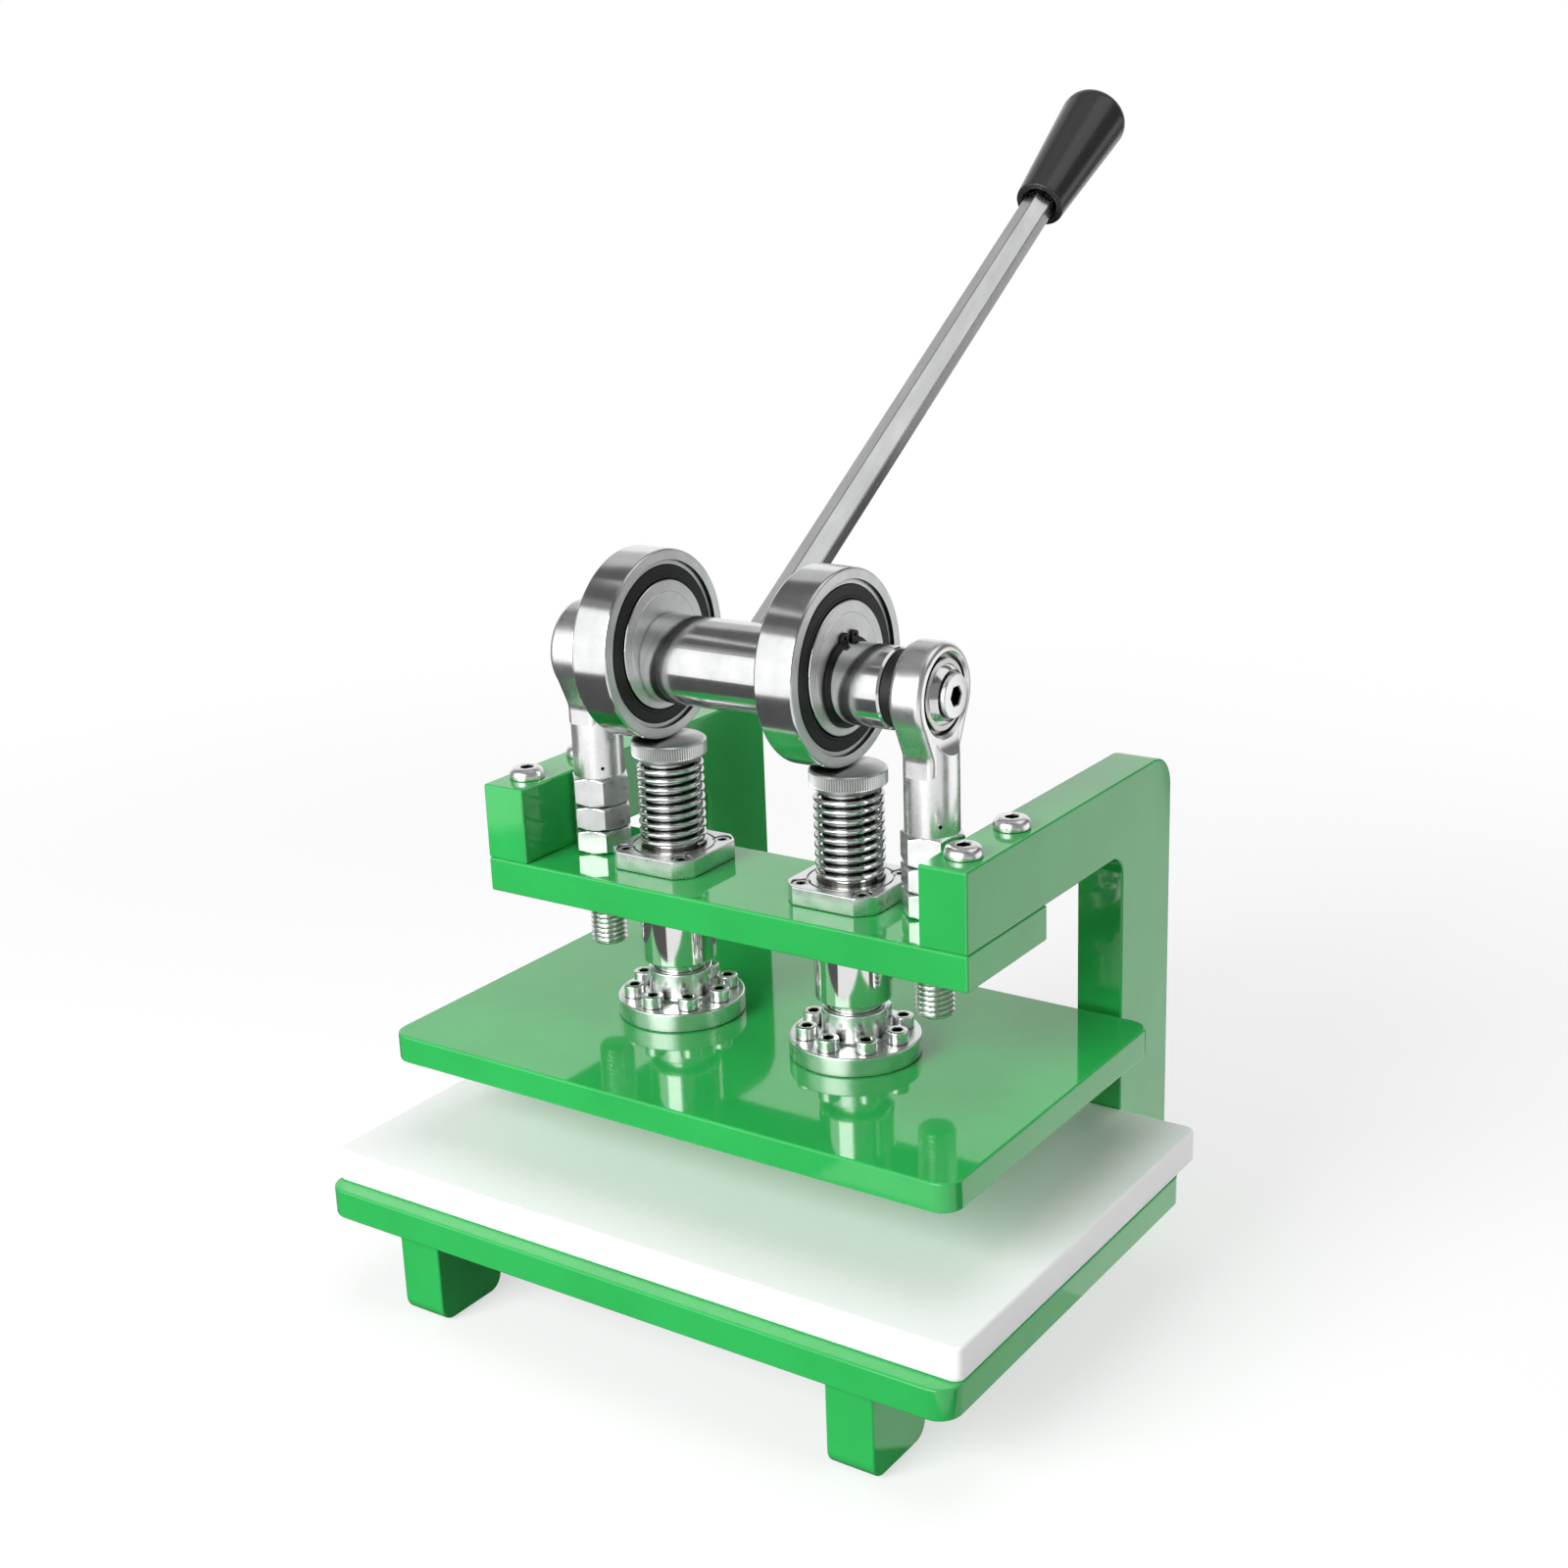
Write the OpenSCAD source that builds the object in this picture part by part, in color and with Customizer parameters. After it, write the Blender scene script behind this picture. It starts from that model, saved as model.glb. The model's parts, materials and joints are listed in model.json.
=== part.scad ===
// Manual die cutting machine.
// A hand lever turns an eccentric shaft that hangs in two rod ends. Two roller bearings on the shaft
// press a sprung platen down on two guide posts, over a cutting board on the base.
// Lengths are in millimetres. X runs across the machine, Y from the operator to the back, Z up.

/* [Base and board] */
// Width of the base plate and of the board on it
base_w = 350; // [330:1:420]
// Depth of the base plate
base_d = 225; // [210:1:236]
// Thickness of the base plate
base_t = 15; // [12:0.5:25]
// Corner radius of the base plate
base_corner_r = 11; // [3:0.5:20]
// Height of the base plate's underside above the bench
leg_h = 45; // [40:1:80]
// Depth of the cutting board
board_d = 230; // [200:1:238]
// Thickness of the cutting board
board_t = 16; // [8:0.5:25]
// Corner radius of the cutting board
board_corner_r = 5; // [2:0.5:12]

/* [Side frames] */
// Distance from the base's side edge to a side frame
frame_inset = 41; // [35:1:46]
// Thickness of a side frame
frame_t = 24; // [20:1:28]
// Distance from the base's front edge to the shaft's axis
axis_y = 130; // [125:1:150]
// Distance from the shaft's axis back to the posts
throat_reach = 109; // [107:1:130]
// Depth of a post
post_depth = 53; // [35:1:70]
// Height of an arm
arm_h = 37.5; // [30:0.5:50]
// Radius of the outer corner where the arm meets the post
frame_corner_r = 17; // [5:0.5:25]
// Radius of the inner corners of the throat
throat_r = 10; // [3:0.5:12]
// Height of the rail under the base plate
rail_h = 25; // [22:1:32]
// Set-back of the feet from the base's front edge
foot_lead = 7; // [2:0.5:12]
// Depth of a foot
foot_d = 42.5; // [30:0.5:60]
// Radius of the feet's lower corners
foot_r = 8; // [2:0.5:12]

/* [Beam] */
// Thickness of the cross beam
beam_t = 17; // [15:0.5:25]
// Depth of the cross beam
beam_d = 72; // [66:1:90]
// Distance from the shaft's axis to the front of the beam and arms
beam_lead = 40; // [34:1:45]
// Gap between the platen and the beam at rest
beam_gap = 60; // [52:1:80]

/* [Platen] */
// Distance from the base's side edge to the platen's, seen from above
platen_inset = 18; // [5:1:30]
// Depth of the platen
platen_d = 190; // [150:1:205]
// Thickness of the platen
platen_t = 14; // [12:0.5:20]
// Corner radius of the platen
platen_corner_r = 10; // [3:0.5:20]
// Gap between the board and the platen at rest, which takes the die
die_gap = 41.5; // [30:0.5:60]

/* [Guides] */
// Gap between a guide bush's flange and the nuts beside it
guide_gap = 4.5; // [2:0.5:8]
// Diameter of a guide post
guide_d = 25; // [20:0.5:26]
// Outer diameter of a guide bush
bush_d = 36; // [34:0.5:40]
// Wall of the bearing liner in a guide bush
liner_t = 2.5; // [1.5:0.1:3]
// Length of a guide bush below the beam
bush_drop = 32; // [20:1:36]
// Width of a guide bush's square flange
flange_w = 48; // [44:0.5:50]
// Diameter that trims the flange's corners
flange_round = 58; // [56:0.5:64]
// Thickness of a guide bush's flange
flange_t = 9; // [7:0.5:12]
// Diameter of the knurled cap on a guide post
cap_d = 36; // [34:0.5:40]
// Height of the knurled cap
cap_h = 10; // [8:0.5:14]
// Chamfer under the knurled cap
cap_chamfer = 2; // [0.5:0.1:3]
// Diameter of a post hub's flange
hub_d = 62; // [58:0.5:70]
// Thickness of a post hub's flange
hub_t = 9.5; // [8:0.5:14]
// Diameter of a post hub's collar
collar_d = 31; // [30:0.5:34]
// Gap between a post hub's collar and the bush above it at rest
collar_gap = 4.5; // [2:0.5:8]

/* [Return springs] */
// Diameter of the spring wire
spring_wire = 2.6; // [2:0.1:3]
// Number of curls in a spring
spring_curls = 9; // [6:1:9]
// Gap between a spring and its guide post
spring_clear = 0.3; // [0.3:0.1:1]

/* [Rod ends] */
// Gap between a rod end's hexagon and the arm beside it
rod_gap = 1; // [0.6:0.1:4]
// Height of a rod end from its foot to the middle of its eye
rod_len = 77; // [70:1:90]
// Outer diameter of a rod end's eye
eye_d = 46; // [42:0.5:50]
// Width of a rod end's eye
eye_w = 16.5; // [14:0.5:18]
// Outer diameter of the bearing race in the eye
race_d = 36; // [34:0.5:38]
// Diameter of the pivot ball
ball_d = 31; // [29:0.5:32]
// Width of the pivot ball
ball_w = 21; // [19:0.5:22]
// Diameter of a rod end's shank
shank_d = 25; // [22:0.5:26]
// Width across the flats of the rod end's hexagon and of its nuts
hex_af = 26; // [24:0.5:27]
// Height of the rod end's hexagon
hex_h = 14.5; // [8:0.5:18]
// Height of a nut on the stud
nut_h = 12; // [8:0.5:15]
// Diameter of the stud
stud_d = 18; // [14:0.5:20]
// Length of the stud below the beam
stud_drop = 32; // [10:1:40]

/* [Eccentric shaft] */
// Diameter of the shaft between the rollers
shaft_d = 42; // [40:0.5:45]
// Diameter of the shaft outside the rollers
stub_d = 37; // [30:0.5:37.5]
// Diameter of the shaft's ends in the pivot balls
end_d = 18; // [16:0.5:18]
// Thickness of the spacer rings beside the pivot balls
spacer_t = 5; // [2:0.5:7]
// Throw of the eccentric journals
throw = 6; // [4:0.25:6]
// Sideways offset of the rollers from the guide posts
roller_shift = -8.5; // [-10:0.5:10]

/* [Rollers] */
// Outer diameter of a roller bearing
roller_d = 90; // [86:0.5:94]
// Bore of a roller bearing
roller_bore = 50; // [49:0.5:51]
// Width of a roller bearing
roller_w = 20; // [19:0.5:22]
// Wall of a roller bearing's rings at their shoulders
ring_t = 5.5; // [5:0.25:7]
// Diameter of the bearing balls
bearing_ball_d = 12.7; // [12:0.1:13]
// Number of bearing balls in a roller
bearing_balls = 10; // [8:1:12]

/* [Lever] */
// Lean of the lever from upright, towards the back, at rest
lever_lean = 56.7; // [40:0.1:70]
// Distance from the shaft's axis to the grip's end
lever_reach = 428; // [350:1:500]
// Width across the flats of the lever bar
lever_af = 15; // [12:0.5:16]
// Turn of the lever bar's flats about its own length
lever_flats = 43; // [0:1:60]
// Distance of the lever from the middle between the rollers, to the right
lever_shift = 3.5; // [0:0.5:10]
// Length of the grip
grip_len = 84; // [70:1:110]
// Length of the grip beyond the end of the bar in it
grip_solid = 24; // [15:1:35]
// Diameter of the grip at the bar
grip_d1 = 26.5; // [23:0.5:28]
// Diameter of the grip at its free end
grip_d2 = 36.5; // [30:0.5:40]
// Edge radius of the grip's free end
grip_end_r = 9; // [4:0.5:12]

/* [Screws] */
// Diameter of the screws that hold the beam under the arms
beam_screw_d = 10; // [8:0.5:12]
// Distance between the two beam screws in an arm
beam_screw_pitch = 43; // [30:1:45]
// Diameter of the screws that hold the base plate on the rails
base_screw_d = 8; // [6:0.5:8]
// Distance between the two base screws in a rail
base_screw_pitch = 150; // [100:1:160]
// Diameter of the screws in the bush flanges
flange_screw_d = 5; // [4:0.5:5.5]
// Distance between neighbouring bush screws
bush_screw_pitch = 33; // [32:0.5:34]
// Diameter of the circle of hub screws
hub_screw_circle = 46; // [45:0.5:48]
// Number of screws in a hub
hub_screws = 8; // [4:1:8]
// Diameter of the screws in a hub
hub_screw_d = 6; // [4:0.5:6]
// Diameter of the screws in the shaft's ends
end_screw_d = 10; // [8:0.5:12]

/* [Clearances] */
// Radial clearance of a running fit
run_fit = 0.05; // [0.02:0.01:0.1]
// Radial clearance of a fixed round seat or thread
seat_gap = 0.05; // [0.02:0.01:0.2]
// Gap between a roller and the cap under it at rest
roller_gap = 0.3; // [0.2:0.05:0.6]
// Gap left at a loose end face
rest_gap = 0.3; // [0.2:0.05:0.5]
// Gap between the board and the posts behind it
board_gap = 0.5; // [0.3:0.1:5]

/* [Hidden] */
$fn = 64;
green = "#35bf57";
steel = "#c4c6c8";
zinc = "#d9dadb";
bronze = "#b08d57";
black = "#1c1c1e";

// Heights above the bench
base_top = leg_h + base_t;
board_top = base_top + board_t;
platen_z = board_top + die_gap;
platen_top = platen_z + platen_t;
beam_z = platen_top + beam_gap;
beam_top = beam_z + beam_t;
frame_top = beam_top + arm_h;
flange_top = beam_top + flange_t;
bush_z = beam_z - bush_drop;
collar_top = bush_z - collar_gap;
rod_foot_z = beam_top + 2*nut_h;
shaft_z = rod_foot_z + rod_len;
roller_z = shaft_z + throw;
cap_top = roller_z - roller_d/2 - roller_gap;
cap_z = cap_top - cap_h;

// Places in depth, from the base's front edge
beam_front = axis_y - beam_lead;
post_front = axis_y + throat_reach;
post_back = post_front + post_depth;
grip_back = axis_y + (lever_reach - grip_end_r)*sin(lever_lean)
    + (grip_d2/2 - grip_end_r)*cos(lever_lean) + grip_end_r;
// The origin is under the middle of the whole machine
middle_y = grip_back/2;

// Places across
hex_tall = 1/cos(30);
frame_pitch = base_w - 2*frame_inset - frame_t;
frame_x = frame_pitch/2;
rod_x = frame_x - frame_t/2 - rod_gap - hex_af*hex_tall/2;
guide_x = rod_x - hex_af*hex_tall/2 - guide_gap - flange_w/2;
platen_w = base_w - 2*platen_inset;

// Shapes within the parts
beam_w = frame_pitch + frame_t;
bush_bore_r = guide_d/2 + run_fit + liner_t + seat_gap;
spring_len = cap_z - flange_top - 2*rest_gap;
curl_rings = 8;
spring_r = (guide_d/2 + spring_clear + spring_wire/2)/cos(180/curl_rings);
cap_bore_d = 16;
cap_bore_h = cap_h - 2.5;
stud_grip = 28;
runout_r = 12;
flat_end_z = -17;
neck_z = -25;
race_w = eye_w - 1.5;
nut_turn = 14;
inner_ring_d = roller_bore + 2*ring_t;
outer_ring_bore = roller_d - 2*ring_t;
ball_circle_r = (roller_bore + roller_d)/4;
ball_run_gap = 0.1;
seal_t = 1.5;
seal_recess = 0.8;
cage_t = 2.8;
cage_w = bearing_ball_d + 1.8;
seat_flat_r = shaft_d/2 - 2;
spigot_d = 10;
spigot_len = 20;
bar_end = lever_reach - grip_solid;
end_head_d = ball_d*0.65;
end_head_h = 2.5;

// Places a part at its spot in the machine, measured from the base's front edge
module place(x = 0, y = 0, z = 0) translate([x, y - middle_y, z]) children();

// Repeats a part at each of the four corners of a rectangle
module corners(w, d) {
    for (x = [-w/2, w/2], y = [-d/2, d/2]) translate([x, y, 0]) children();
}

// Rectangle with round corners, centred
module round_rect(w, d, r) {
    square([w - 2*r, d], center = true);
    square([w, d - 2*r], center = true);
    corners(w - 2*r, d - 2*r) circle(r);
}

// Rectangle with round corners, from its lower left corner
module round_rect_at(x, y, w, d, r) {
    translate([x + w/2, y + d/2]) round_rect(w, d, r);
}

// Cylinder along X from x0 to x1
module x_cylinder(x0, x1, d) {
    translate([x0, 0, 0]) rotate([0, 90, 0]) cylinder(h = x1 - x0, d = d);
}

module hexagon(af, h) {
    cylinder(h = h, d = af*hex_tall, $fn = 6);
}

// Hexagonal block with the corners of both ends turned off
module hex_block(af, h) {
    far_r = af*hex_tall/2 + 1;
    edge_r = af*0.48;
    turn_h = (far_r - edge_r)*tan(30);
    intersection() {
        hexagon(af, h);
        rotate_extrude()
            polygon([[0, 0], [edge_r, 0], [far_r, turn_h], [far_r, h - turn_h], [edge_r, h], [0, h]]);
    }
}

// Low round-headed screw with a hexagon socket; its head sits on z = 0 and its shank points down
module button_screw(d, len, head_d, head_h) {
    rim_h = head_h*0.3;
    difference() {
        union() {
            cylinder(h = rim_h, d = head_d);
            translate([0, 0, rim_h]) cylinder(h = head_h - rim_h, d1 = head_d, d2 = head_d*0.68);
            translate([0, 0, -len]) cylinder(h = len, d = d);
        }
        translate([0, 0, head_h*0.4]) hexagon(d*0.6, head_h);
    }
}

// Straight-headed screw with a hexagon socket, seated as above
module cap_screw(d, len) {
    difference() {
        union() {
            cylinder(h = d, d = 1.7*d);
            translate([0, 0, -len]) cylinder(h = len, d = d);
        }
        translate([0, 0, d*0.45]) hexagon(d*0.8, d);
    }
}

// Flat countersunk screw whose head's top is at z = 0
module flat_screw(d, len) {
    difference() {
        union() {
            translate([0, 0, -d/2]) cylinder(h = d/2, d1 = d, d2 = 2*d);
            translate([0, 0, -len]) cylinder(h = len, d = d);
        }
        translate([0, 0, -d*0.35]) hexagon(d*0.6, d);
    }
}

/* Base and board */

base_screw_len = base_t + rail_h - 8;

module base_screw_spots() {
    translate([0, base_d/2, 0]) corners(frame_pitch, base_screw_pitch) children();
}

module base_plate() {
    color(green) place() difference() {
        translate([0, base_d/2, leg_h]) linear_extrude(base_t) round_rect(base_w, base_d, base_corner_r);
        base_screw_spots() {
            translate([0, 0, leg_h - 1]) cylinder(h = base_t, d = base_screw_d + 2*seat_gap);
            translate([0, 0, base_top - rest_gap - base_screw_d/2])
                cylinder(h = base_screw_d/2, d1 = base_screw_d + 2*rest_gap, d2 = 2*base_screw_d + 2*rest_gap);
            translate([0, 0, base_top - rest_gap]) cylinder(h = 1, d = 2*base_screw_d + 2*rest_gap);
        }
    }
}

module base_screws() {
    color(steel) place(0, 0, base_top - rest_gap) base_screw_spots() flat_screw(base_screw_d, base_screw_len);
}

module cutting_board() {
    color("white") place(0, post_front - board_gap - board_d/2, base_top)
        linear_extrude(board_t) round_rect(base_w, board_d, board_corner_r);
}

/* Side frames and beam */

// Outline of a side frame, Y across and Z up
module frame_outline() {
    rail_z = leg_h - rail_h;
    translate([foot_lead, rail_z]) square([post_back - foot_lead, rail_h]);
    round_rect_at(foot_lead, 0, foot_d, leg_h, foot_r);
    round_rect_at(post_front, 0, post_depth, leg_h, foot_r);
    difference() {
        union() {
            corner_y = post_back - frame_corner_r;
            corner_z = frame_top - frame_corner_r;
            translate([beam_front, rail_z]) square([corner_y - beam_front, frame_top - rail_z]);
            translate([beam_front, rail_z]) square([post_back - beam_front, corner_z - rail_z]);
            translate([corner_y, corner_z]) circle(frame_corner_r);
        }
        round_rect_at(0, leg_h, post_front, beam_top - leg_h, throat_r);
    }
}

module beam_screw_spots() {
    translate([0, axis_y, 0]) corners(frame_pitch, beam_screw_pitch) children();
}

module side_frame(side) {
    color(green) difference() {
        place(side*frame_x - frame_t/2) rotate([90, 0, 90]) linear_extrude(frame_t) frame_outline();
        place(0, 0, beam_top - 1) beam_screw_spots() cylinder(h = arm_h + 2, d = beam_screw_d + 2*seat_gap);
        place(0, 0, base_top - rest_gap - base_screw_len - 1) base_screw_spots()
            cylinder(h = base_screw_len, d = base_screw_d + 2*seat_gap);
    }
}

beam_screw_depth = beam_t - 3;

module cross_beam() {
    color(green) difference() {
        place(-beam_w/2, beam_front, beam_z) cube([beam_w, beam_d, beam_t]);
        place(0, axis_y, beam_z - 1) for (side = [-1, 1]) {
            translate([side*guide_x, 0, 0]) cylinder(h = beam_t + 2, d = bush_d + 2*seat_gap);
            translate([side*rod_x, 0, 0]) cylinder(h = beam_t + 2, d = stud_d + 2*seat_gap);
        }
        place(0, 0, beam_top - beam_screw_depth - 1) beam_screw_spots()
            cylinder(h = beam_t, d = beam_screw_d + 2*seat_gap);
        for (side = [-1, 1]) bush_screw_spots(side, beam_top - bush_screw_grip - 1)
            cylinder(h = beam_t, d = flange_screw_d + 2*seat_gap);
    }
}

module beam_screws() {
    color(zinc) place(0, 0, frame_top) beam_screw_spots()
        button_screw(beam_screw_d, arm_h + beam_screw_depth, 1.7*beam_screw_d, 0.55*beam_screw_d);
}

/* Guides */

bush_screw_grip = 11;
bush_screw_seat = flange_t - flange_screw_d - 0.5;

module bush_screw_spots(side, z) {
    place(side*guide_x, axis_y, z) corners(bush_screw_pitch, bush_screw_pitch) children();
}

module guide_bush(side) {
    color(steel) difference() {
        union() {
            place(side*guide_x, axis_y, beam_top) linear_extrude(flange_t) intersection() {
                square(flange_w, center = true);
                circle(d = flange_round);
            }
            place(side*guide_x, axis_y, bush_z) cylinder(h = beam_top - bush_z + 1, d = bush_d);
        }
        place(side*guide_x, axis_y, bush_z - 1) cylinder(h = flange_top - bush_z + 2, r = bush_bore_r);
        bush_screw_spots(side, beam_top - 1) cylinder(h = flange_t + 2, d = flange_screw_d + 2*seat_gap);
        bush_screw_spots(side, beam_top + bush_screw_seat)
            cylinder(h = flange_t, d = 1.7*flange_screw_d + 0.6);
    }
}

module guide_liner(side) {
    color(bronze) place(side*guide_x, axis_y, bush_z + rest_gap) difference() {
        cylinder(h = flange_top - bush_z - 2*rest_gap, r = bush_bore_r - seat_gap);
        translate([0, 0, -1]) cylinder(h = flange_top - bush_z + 2, r = guide_d/2 + run_fit);
    }
}

module bush_screws(side) {
    color(steel) bush_screw_spots(side, beam_top + bush_screw_seat)
        cap_screw(flange_screw_d, bush_screw_seat + bush_screw_grip);
}

module guide_post(side) {
    color(steel) place(side*guide_x, axis_y, platen_top) {
        cylinder(h = cap_z - platen_top, d = guide_d);
        cylinder(h = cap_z - platen_top + cap_bore_h - rest_gap, d = cap_bore_d);
    }
}

module post_cap(side) {
    edge_r = cap_d/2 - cap_chamfer;
    color(zinc) place(side*guide_x, axis_y, cap_z) difference() {
        rotate_extrude() polygon([[0, 0], [edge_r, 0], [cap_d/2, cap_chamfer], [cap_d/2, cap_h - 0.8],
                                  [cap_d/2 - 0.8, cap_h], [0, cap_h]]);
        translate([0, 0, -1]) cylinder(h = cap_bore_h + 1, d = cap_bore_d + 2*seat_gap);
    }
}

module hub_screw_spots(side, z) {
    place(side*guide_x, axis_y, z) for (i = [0:hub_screws - 1]) rotate(360*i/hub_screws - 90)
        translate([hub_screw_circle/2, 0, 0]) children();
}

hub_screw_grip = platen_t - 4;

module post_hub(side) {
    color(zinc) difference() {
        place(side*guide_x, axis_y, platen_top) {
            cylinder(h = hub_t, d = hub_d);
            cylinder(h = collar_top - platen_top, d = collar_d);
        }
        place(side*guide_x, axis_y, platen_top - 1)
            cylinder(h = collar_top - platen_top + 2, d = guide_d + 2*seat_gap);
        hub_screw_spots(side, platen_top - 1) cylinder(h = hub_t + 2, d = hub_screw_d + 2*seat_gap);
    }
}

module hub_screws(side) {
    color(steel) hub_screw_spots(side, platen_top + hub_t)
        cap_screw(hub_screw_d, hub_t + hub_screw_grip);
}

module platen() {
    color(green) difference() {
        place(0, axis_y, platen_z) linear_extrude(platen_t) round_rect(platen_w, platen_d, platen_corner_r);
        for (side = [-1, 1]) hub_screw_spots(side, platen_top - hub_screw_grip - 1)
            cylinder(h = platen_t, d = hub_screw_d + 2*seat_gap);
    }
}

/* Return springs: one wire tube each, wound by a formula */

wire_sides = 6;
wind_steps = spring_curls*curl_rings;
wind_rise = spring_len - spring_wire;

function wind_angle(i) = 360*min(max(i, 0), wind_steps)/curl_rings;
function wind_ahead(i) = [-sin(wind_angle(i)), cos(wind_angle(i)), 0];
function wind_spot(i) = let (a = wind_angle(i), k = min(max(i, 0), wind_steps)/wind_steps)
    [spring_r*cos(a), spring_r*sin(a), spring_wire/2 + wind_rise*k]
    + wind_ahead(i)*spring_wire*(i < 0 ? -1 : i > wind_steps ? 1 : 0);
function wire_ring(i) = let (a = wind_angle(i)) [
    for (s = [0:wire_sides - 1]) let (b = 360*s/wire_sides)
        wind_spot(i) + spring_wire/2*(cos(b)*[cos(a), sin(a), 0] + sin(b)*[0, 0, 1])
];
wire_points = [for (i = [-1:wind_steps + 1]) each wire_ring(i)];
wire_faces = let (n = wire_sides, last = (wind_steps + 2)*wire_sides) [
    for (s = [1:n - 2]) [0, s, s + 1],
    for (s = [1:n - 2]) [last, last + s + 1, last + s],
    for (i = [0:wind_steps + 1], s = [0:n - 1]) let (p = i*n + s, q = i*n + (s + 1)%n)
        each [[p, p + n, q], [q, p + n, q + n]]
];
wire_gap = -spring_wire + min([
    for (i = [0:wind_steps], j = [i + curl_rings/2:1:wind_steps]) norm(wind_spot(i) - wind_spot(j))
]);
echo(str("least gap between a return spring's curls: ", wire_gap, " mm"));

module return_spring(side) {
    color(steel) place(side*guide_x, axis_y, flange_top + rest_gap) polyhedron(wire_points, wire_faces);
}

/* Rod ends */

// A rod end's own frame has its origin in the middle of the eye, with the bore along X
module rod_end(side) {
    color(zinc) place(side*rod_x, axis_y, shaft_z) difference() {
        union() {
            x_cylinder(-eye_w/2, eye_w/2, eye_d);
            rotate([90, 0, 90]) linear_extrude(eye_w, center = true)
                polygon([[-shank_d/2, neck_z], [shank_d/2, neck_z],
                         [eye_d*0.43, neck_z/2], [-eye_d*0.43, neck_z/2]]);
            difference() {
                translate([0, 0, hex_h - rod_len]) cylinder(h = rod_len - hex_h + flat_end_z + 6, d = shank_d);
                for (face = [-1, 1]) {
                    translate([face*(eye_w/2 + runout_r), 0, flat_end_z]) rotate([90, 0, 0])
                        cylinder(h = 2*shank_d, r = runout_r, center = true);
                    translate([face*(eye_w/2 + runout_r), 0, flat_end_z + runout_r])
                        cube([2*runout_r, 2*shank_d, 2*runout_r], center = true);
                }
            }
            translate([0, 0, -rod_len]) rotate(nut_turn) hex_block(hex_af, hex_h);
        }
        x_cylinder(-eye_w, eye_w, race_d);
        translate([0, 0, -rod_len - 1]) cylinder(h = stud_grip + 2, d = stud_d + 2*seat_gap);
    }
}

module rod_race(side) {
    color(bronze) place(side*rod_x, axis_y, shaft_z) rotate([0, 90, 0]) rotate_extrude() difference() {
        translate([0, -race_w/2]) square([race_d/2 - seat_gap, race_w]);
        circle(d = ball_d + 2*run_fit);
    }
}

module pivot_ball(side) {
    color(steel) place(side*rod_x, axis_y, shaft_z) rotate([0, 90, 0]) rotate_extrude() intersection() {
        circle(d = ball_d);
        translate([end_d/2 + seat_gap, -ball_w/2]) square([ball_d, ball_w]);
    }
}

module rod_stud(side) {
    stud_z = beam_z - stud_drop;
    color(zinc) place(side*rod_x, axis_y, stud_z) cylinder(h = rod_foot_z + stud_grip - stud_z, d = stud_d);
}

module nut_at(side, z) {
    color(zinc) place(side*rod_x, axis_y, z) difference() {
        rotate(nut_turn) hex_block(hex_af, nut_h);
        translate([0, 0, -1]) cylinder(h = nut_h + 2, d = stud_d + 2*seat_gap);
    }
}

module beam_nut(side) nut_at(side, beam_top);

module lock_nut(side) nut_at(side, beam_top + nut_h);

/* Eccentric shaft and lever */

// Middle of a roller along X
function roller_x(side) = roller_shift + side*guide_x;

module along_lever() {
    place(roller_shift + lever_shift, axis_y, shaft_z) rotate([-lever_lean, 0, 0]) children();
}

module cam_shaft() {
    stub_end = rod_x - ball_w/2 - spacer_t;
    tip = rod_x + ball_w/2 - rest_gap;
    color(steel) difference() {
        union() {
            place(0, axis_y, shaft_z) {
                x_cylinder(roller_x(-1) + roller_w/2, roller_x(1) - roller_w/2, shaft_d);
                x_cylinder(-stub_end, roller_x(-1) - roller_w/2, stub_d);
                x_cylinder(roller_x(1) + roller_w/2, stub_end, stub_d);
                x_cylinder(-tip, -stub_end, end_d);
                x_cylinder(stub_end, tip, end_d);
            }
            place(0, axis_y, roller_z) for (side = [-1, 1])
                x_cylinder(roller_x(side) - roller_w/2, roller_x(side) + roller_w/2, roller_bore);
        }
        along_lever() {
            translate([0, 0, seat_flat_r]) cylinder(h = shaft_d, d = lever_af*hex_tall + 3);
            translate([0, 0, seat_flat_r - spigot_len]) cylinder(h = shaft_d, d = spigot_d + 2*seat_gap);
        }
        place(0, axis_y, shaft_z) for (side = [-1, 1]) rotate(side > 0 ? 0 : 180)
            x_cylinder(tip - end_screw_len, tip + 1, end_screw_d + 2*seat_gap);
    }
}

end_screw_len = 22;

module shaft_end_screws() {
    color(zinc) for (side = [-1, 1]) place(side*(rod_x + ball_w/2), axis_y, shaft_z)
        rotate([0, side*90, 0]) difference() {
            union() {
                cylinder(h = end_head_h, d = end_head_d);
                translate([0, 0, 2 - end_screw_len]) cylinder(h = end_screw_len - 2, d = end_screw_d);
            }
            translate([0, 0, -3]) hexagon(0.8*end_screw_d, end_head_h + 4);
        }
}

module shaft_spacer(side) {
    ball_face = rod_x - ball_w/2;
    color(black) place(0, axis_y, shaft_z) rotate(side > 0 ? 0 : 180) difference() {
        x_cylinder(ball_face - spacer_t, ball_face, stub_d - 3);
        x_cylinder(0, ball_face + 1, end_d + 2*seat_gap);
    }
}

module lever_bar() {
    color(steel) along_lever() {
        translate([0, 0, seat_flat_r]) rotate(lever_flats) hexagon(lever_af, bar_end - seat_flat_r);
        translate([0, 0, seat_flat_r - spigot_len + rest_gap]) cylinder(h = spigot_len, d = spigot_d);
    }
}

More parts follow.
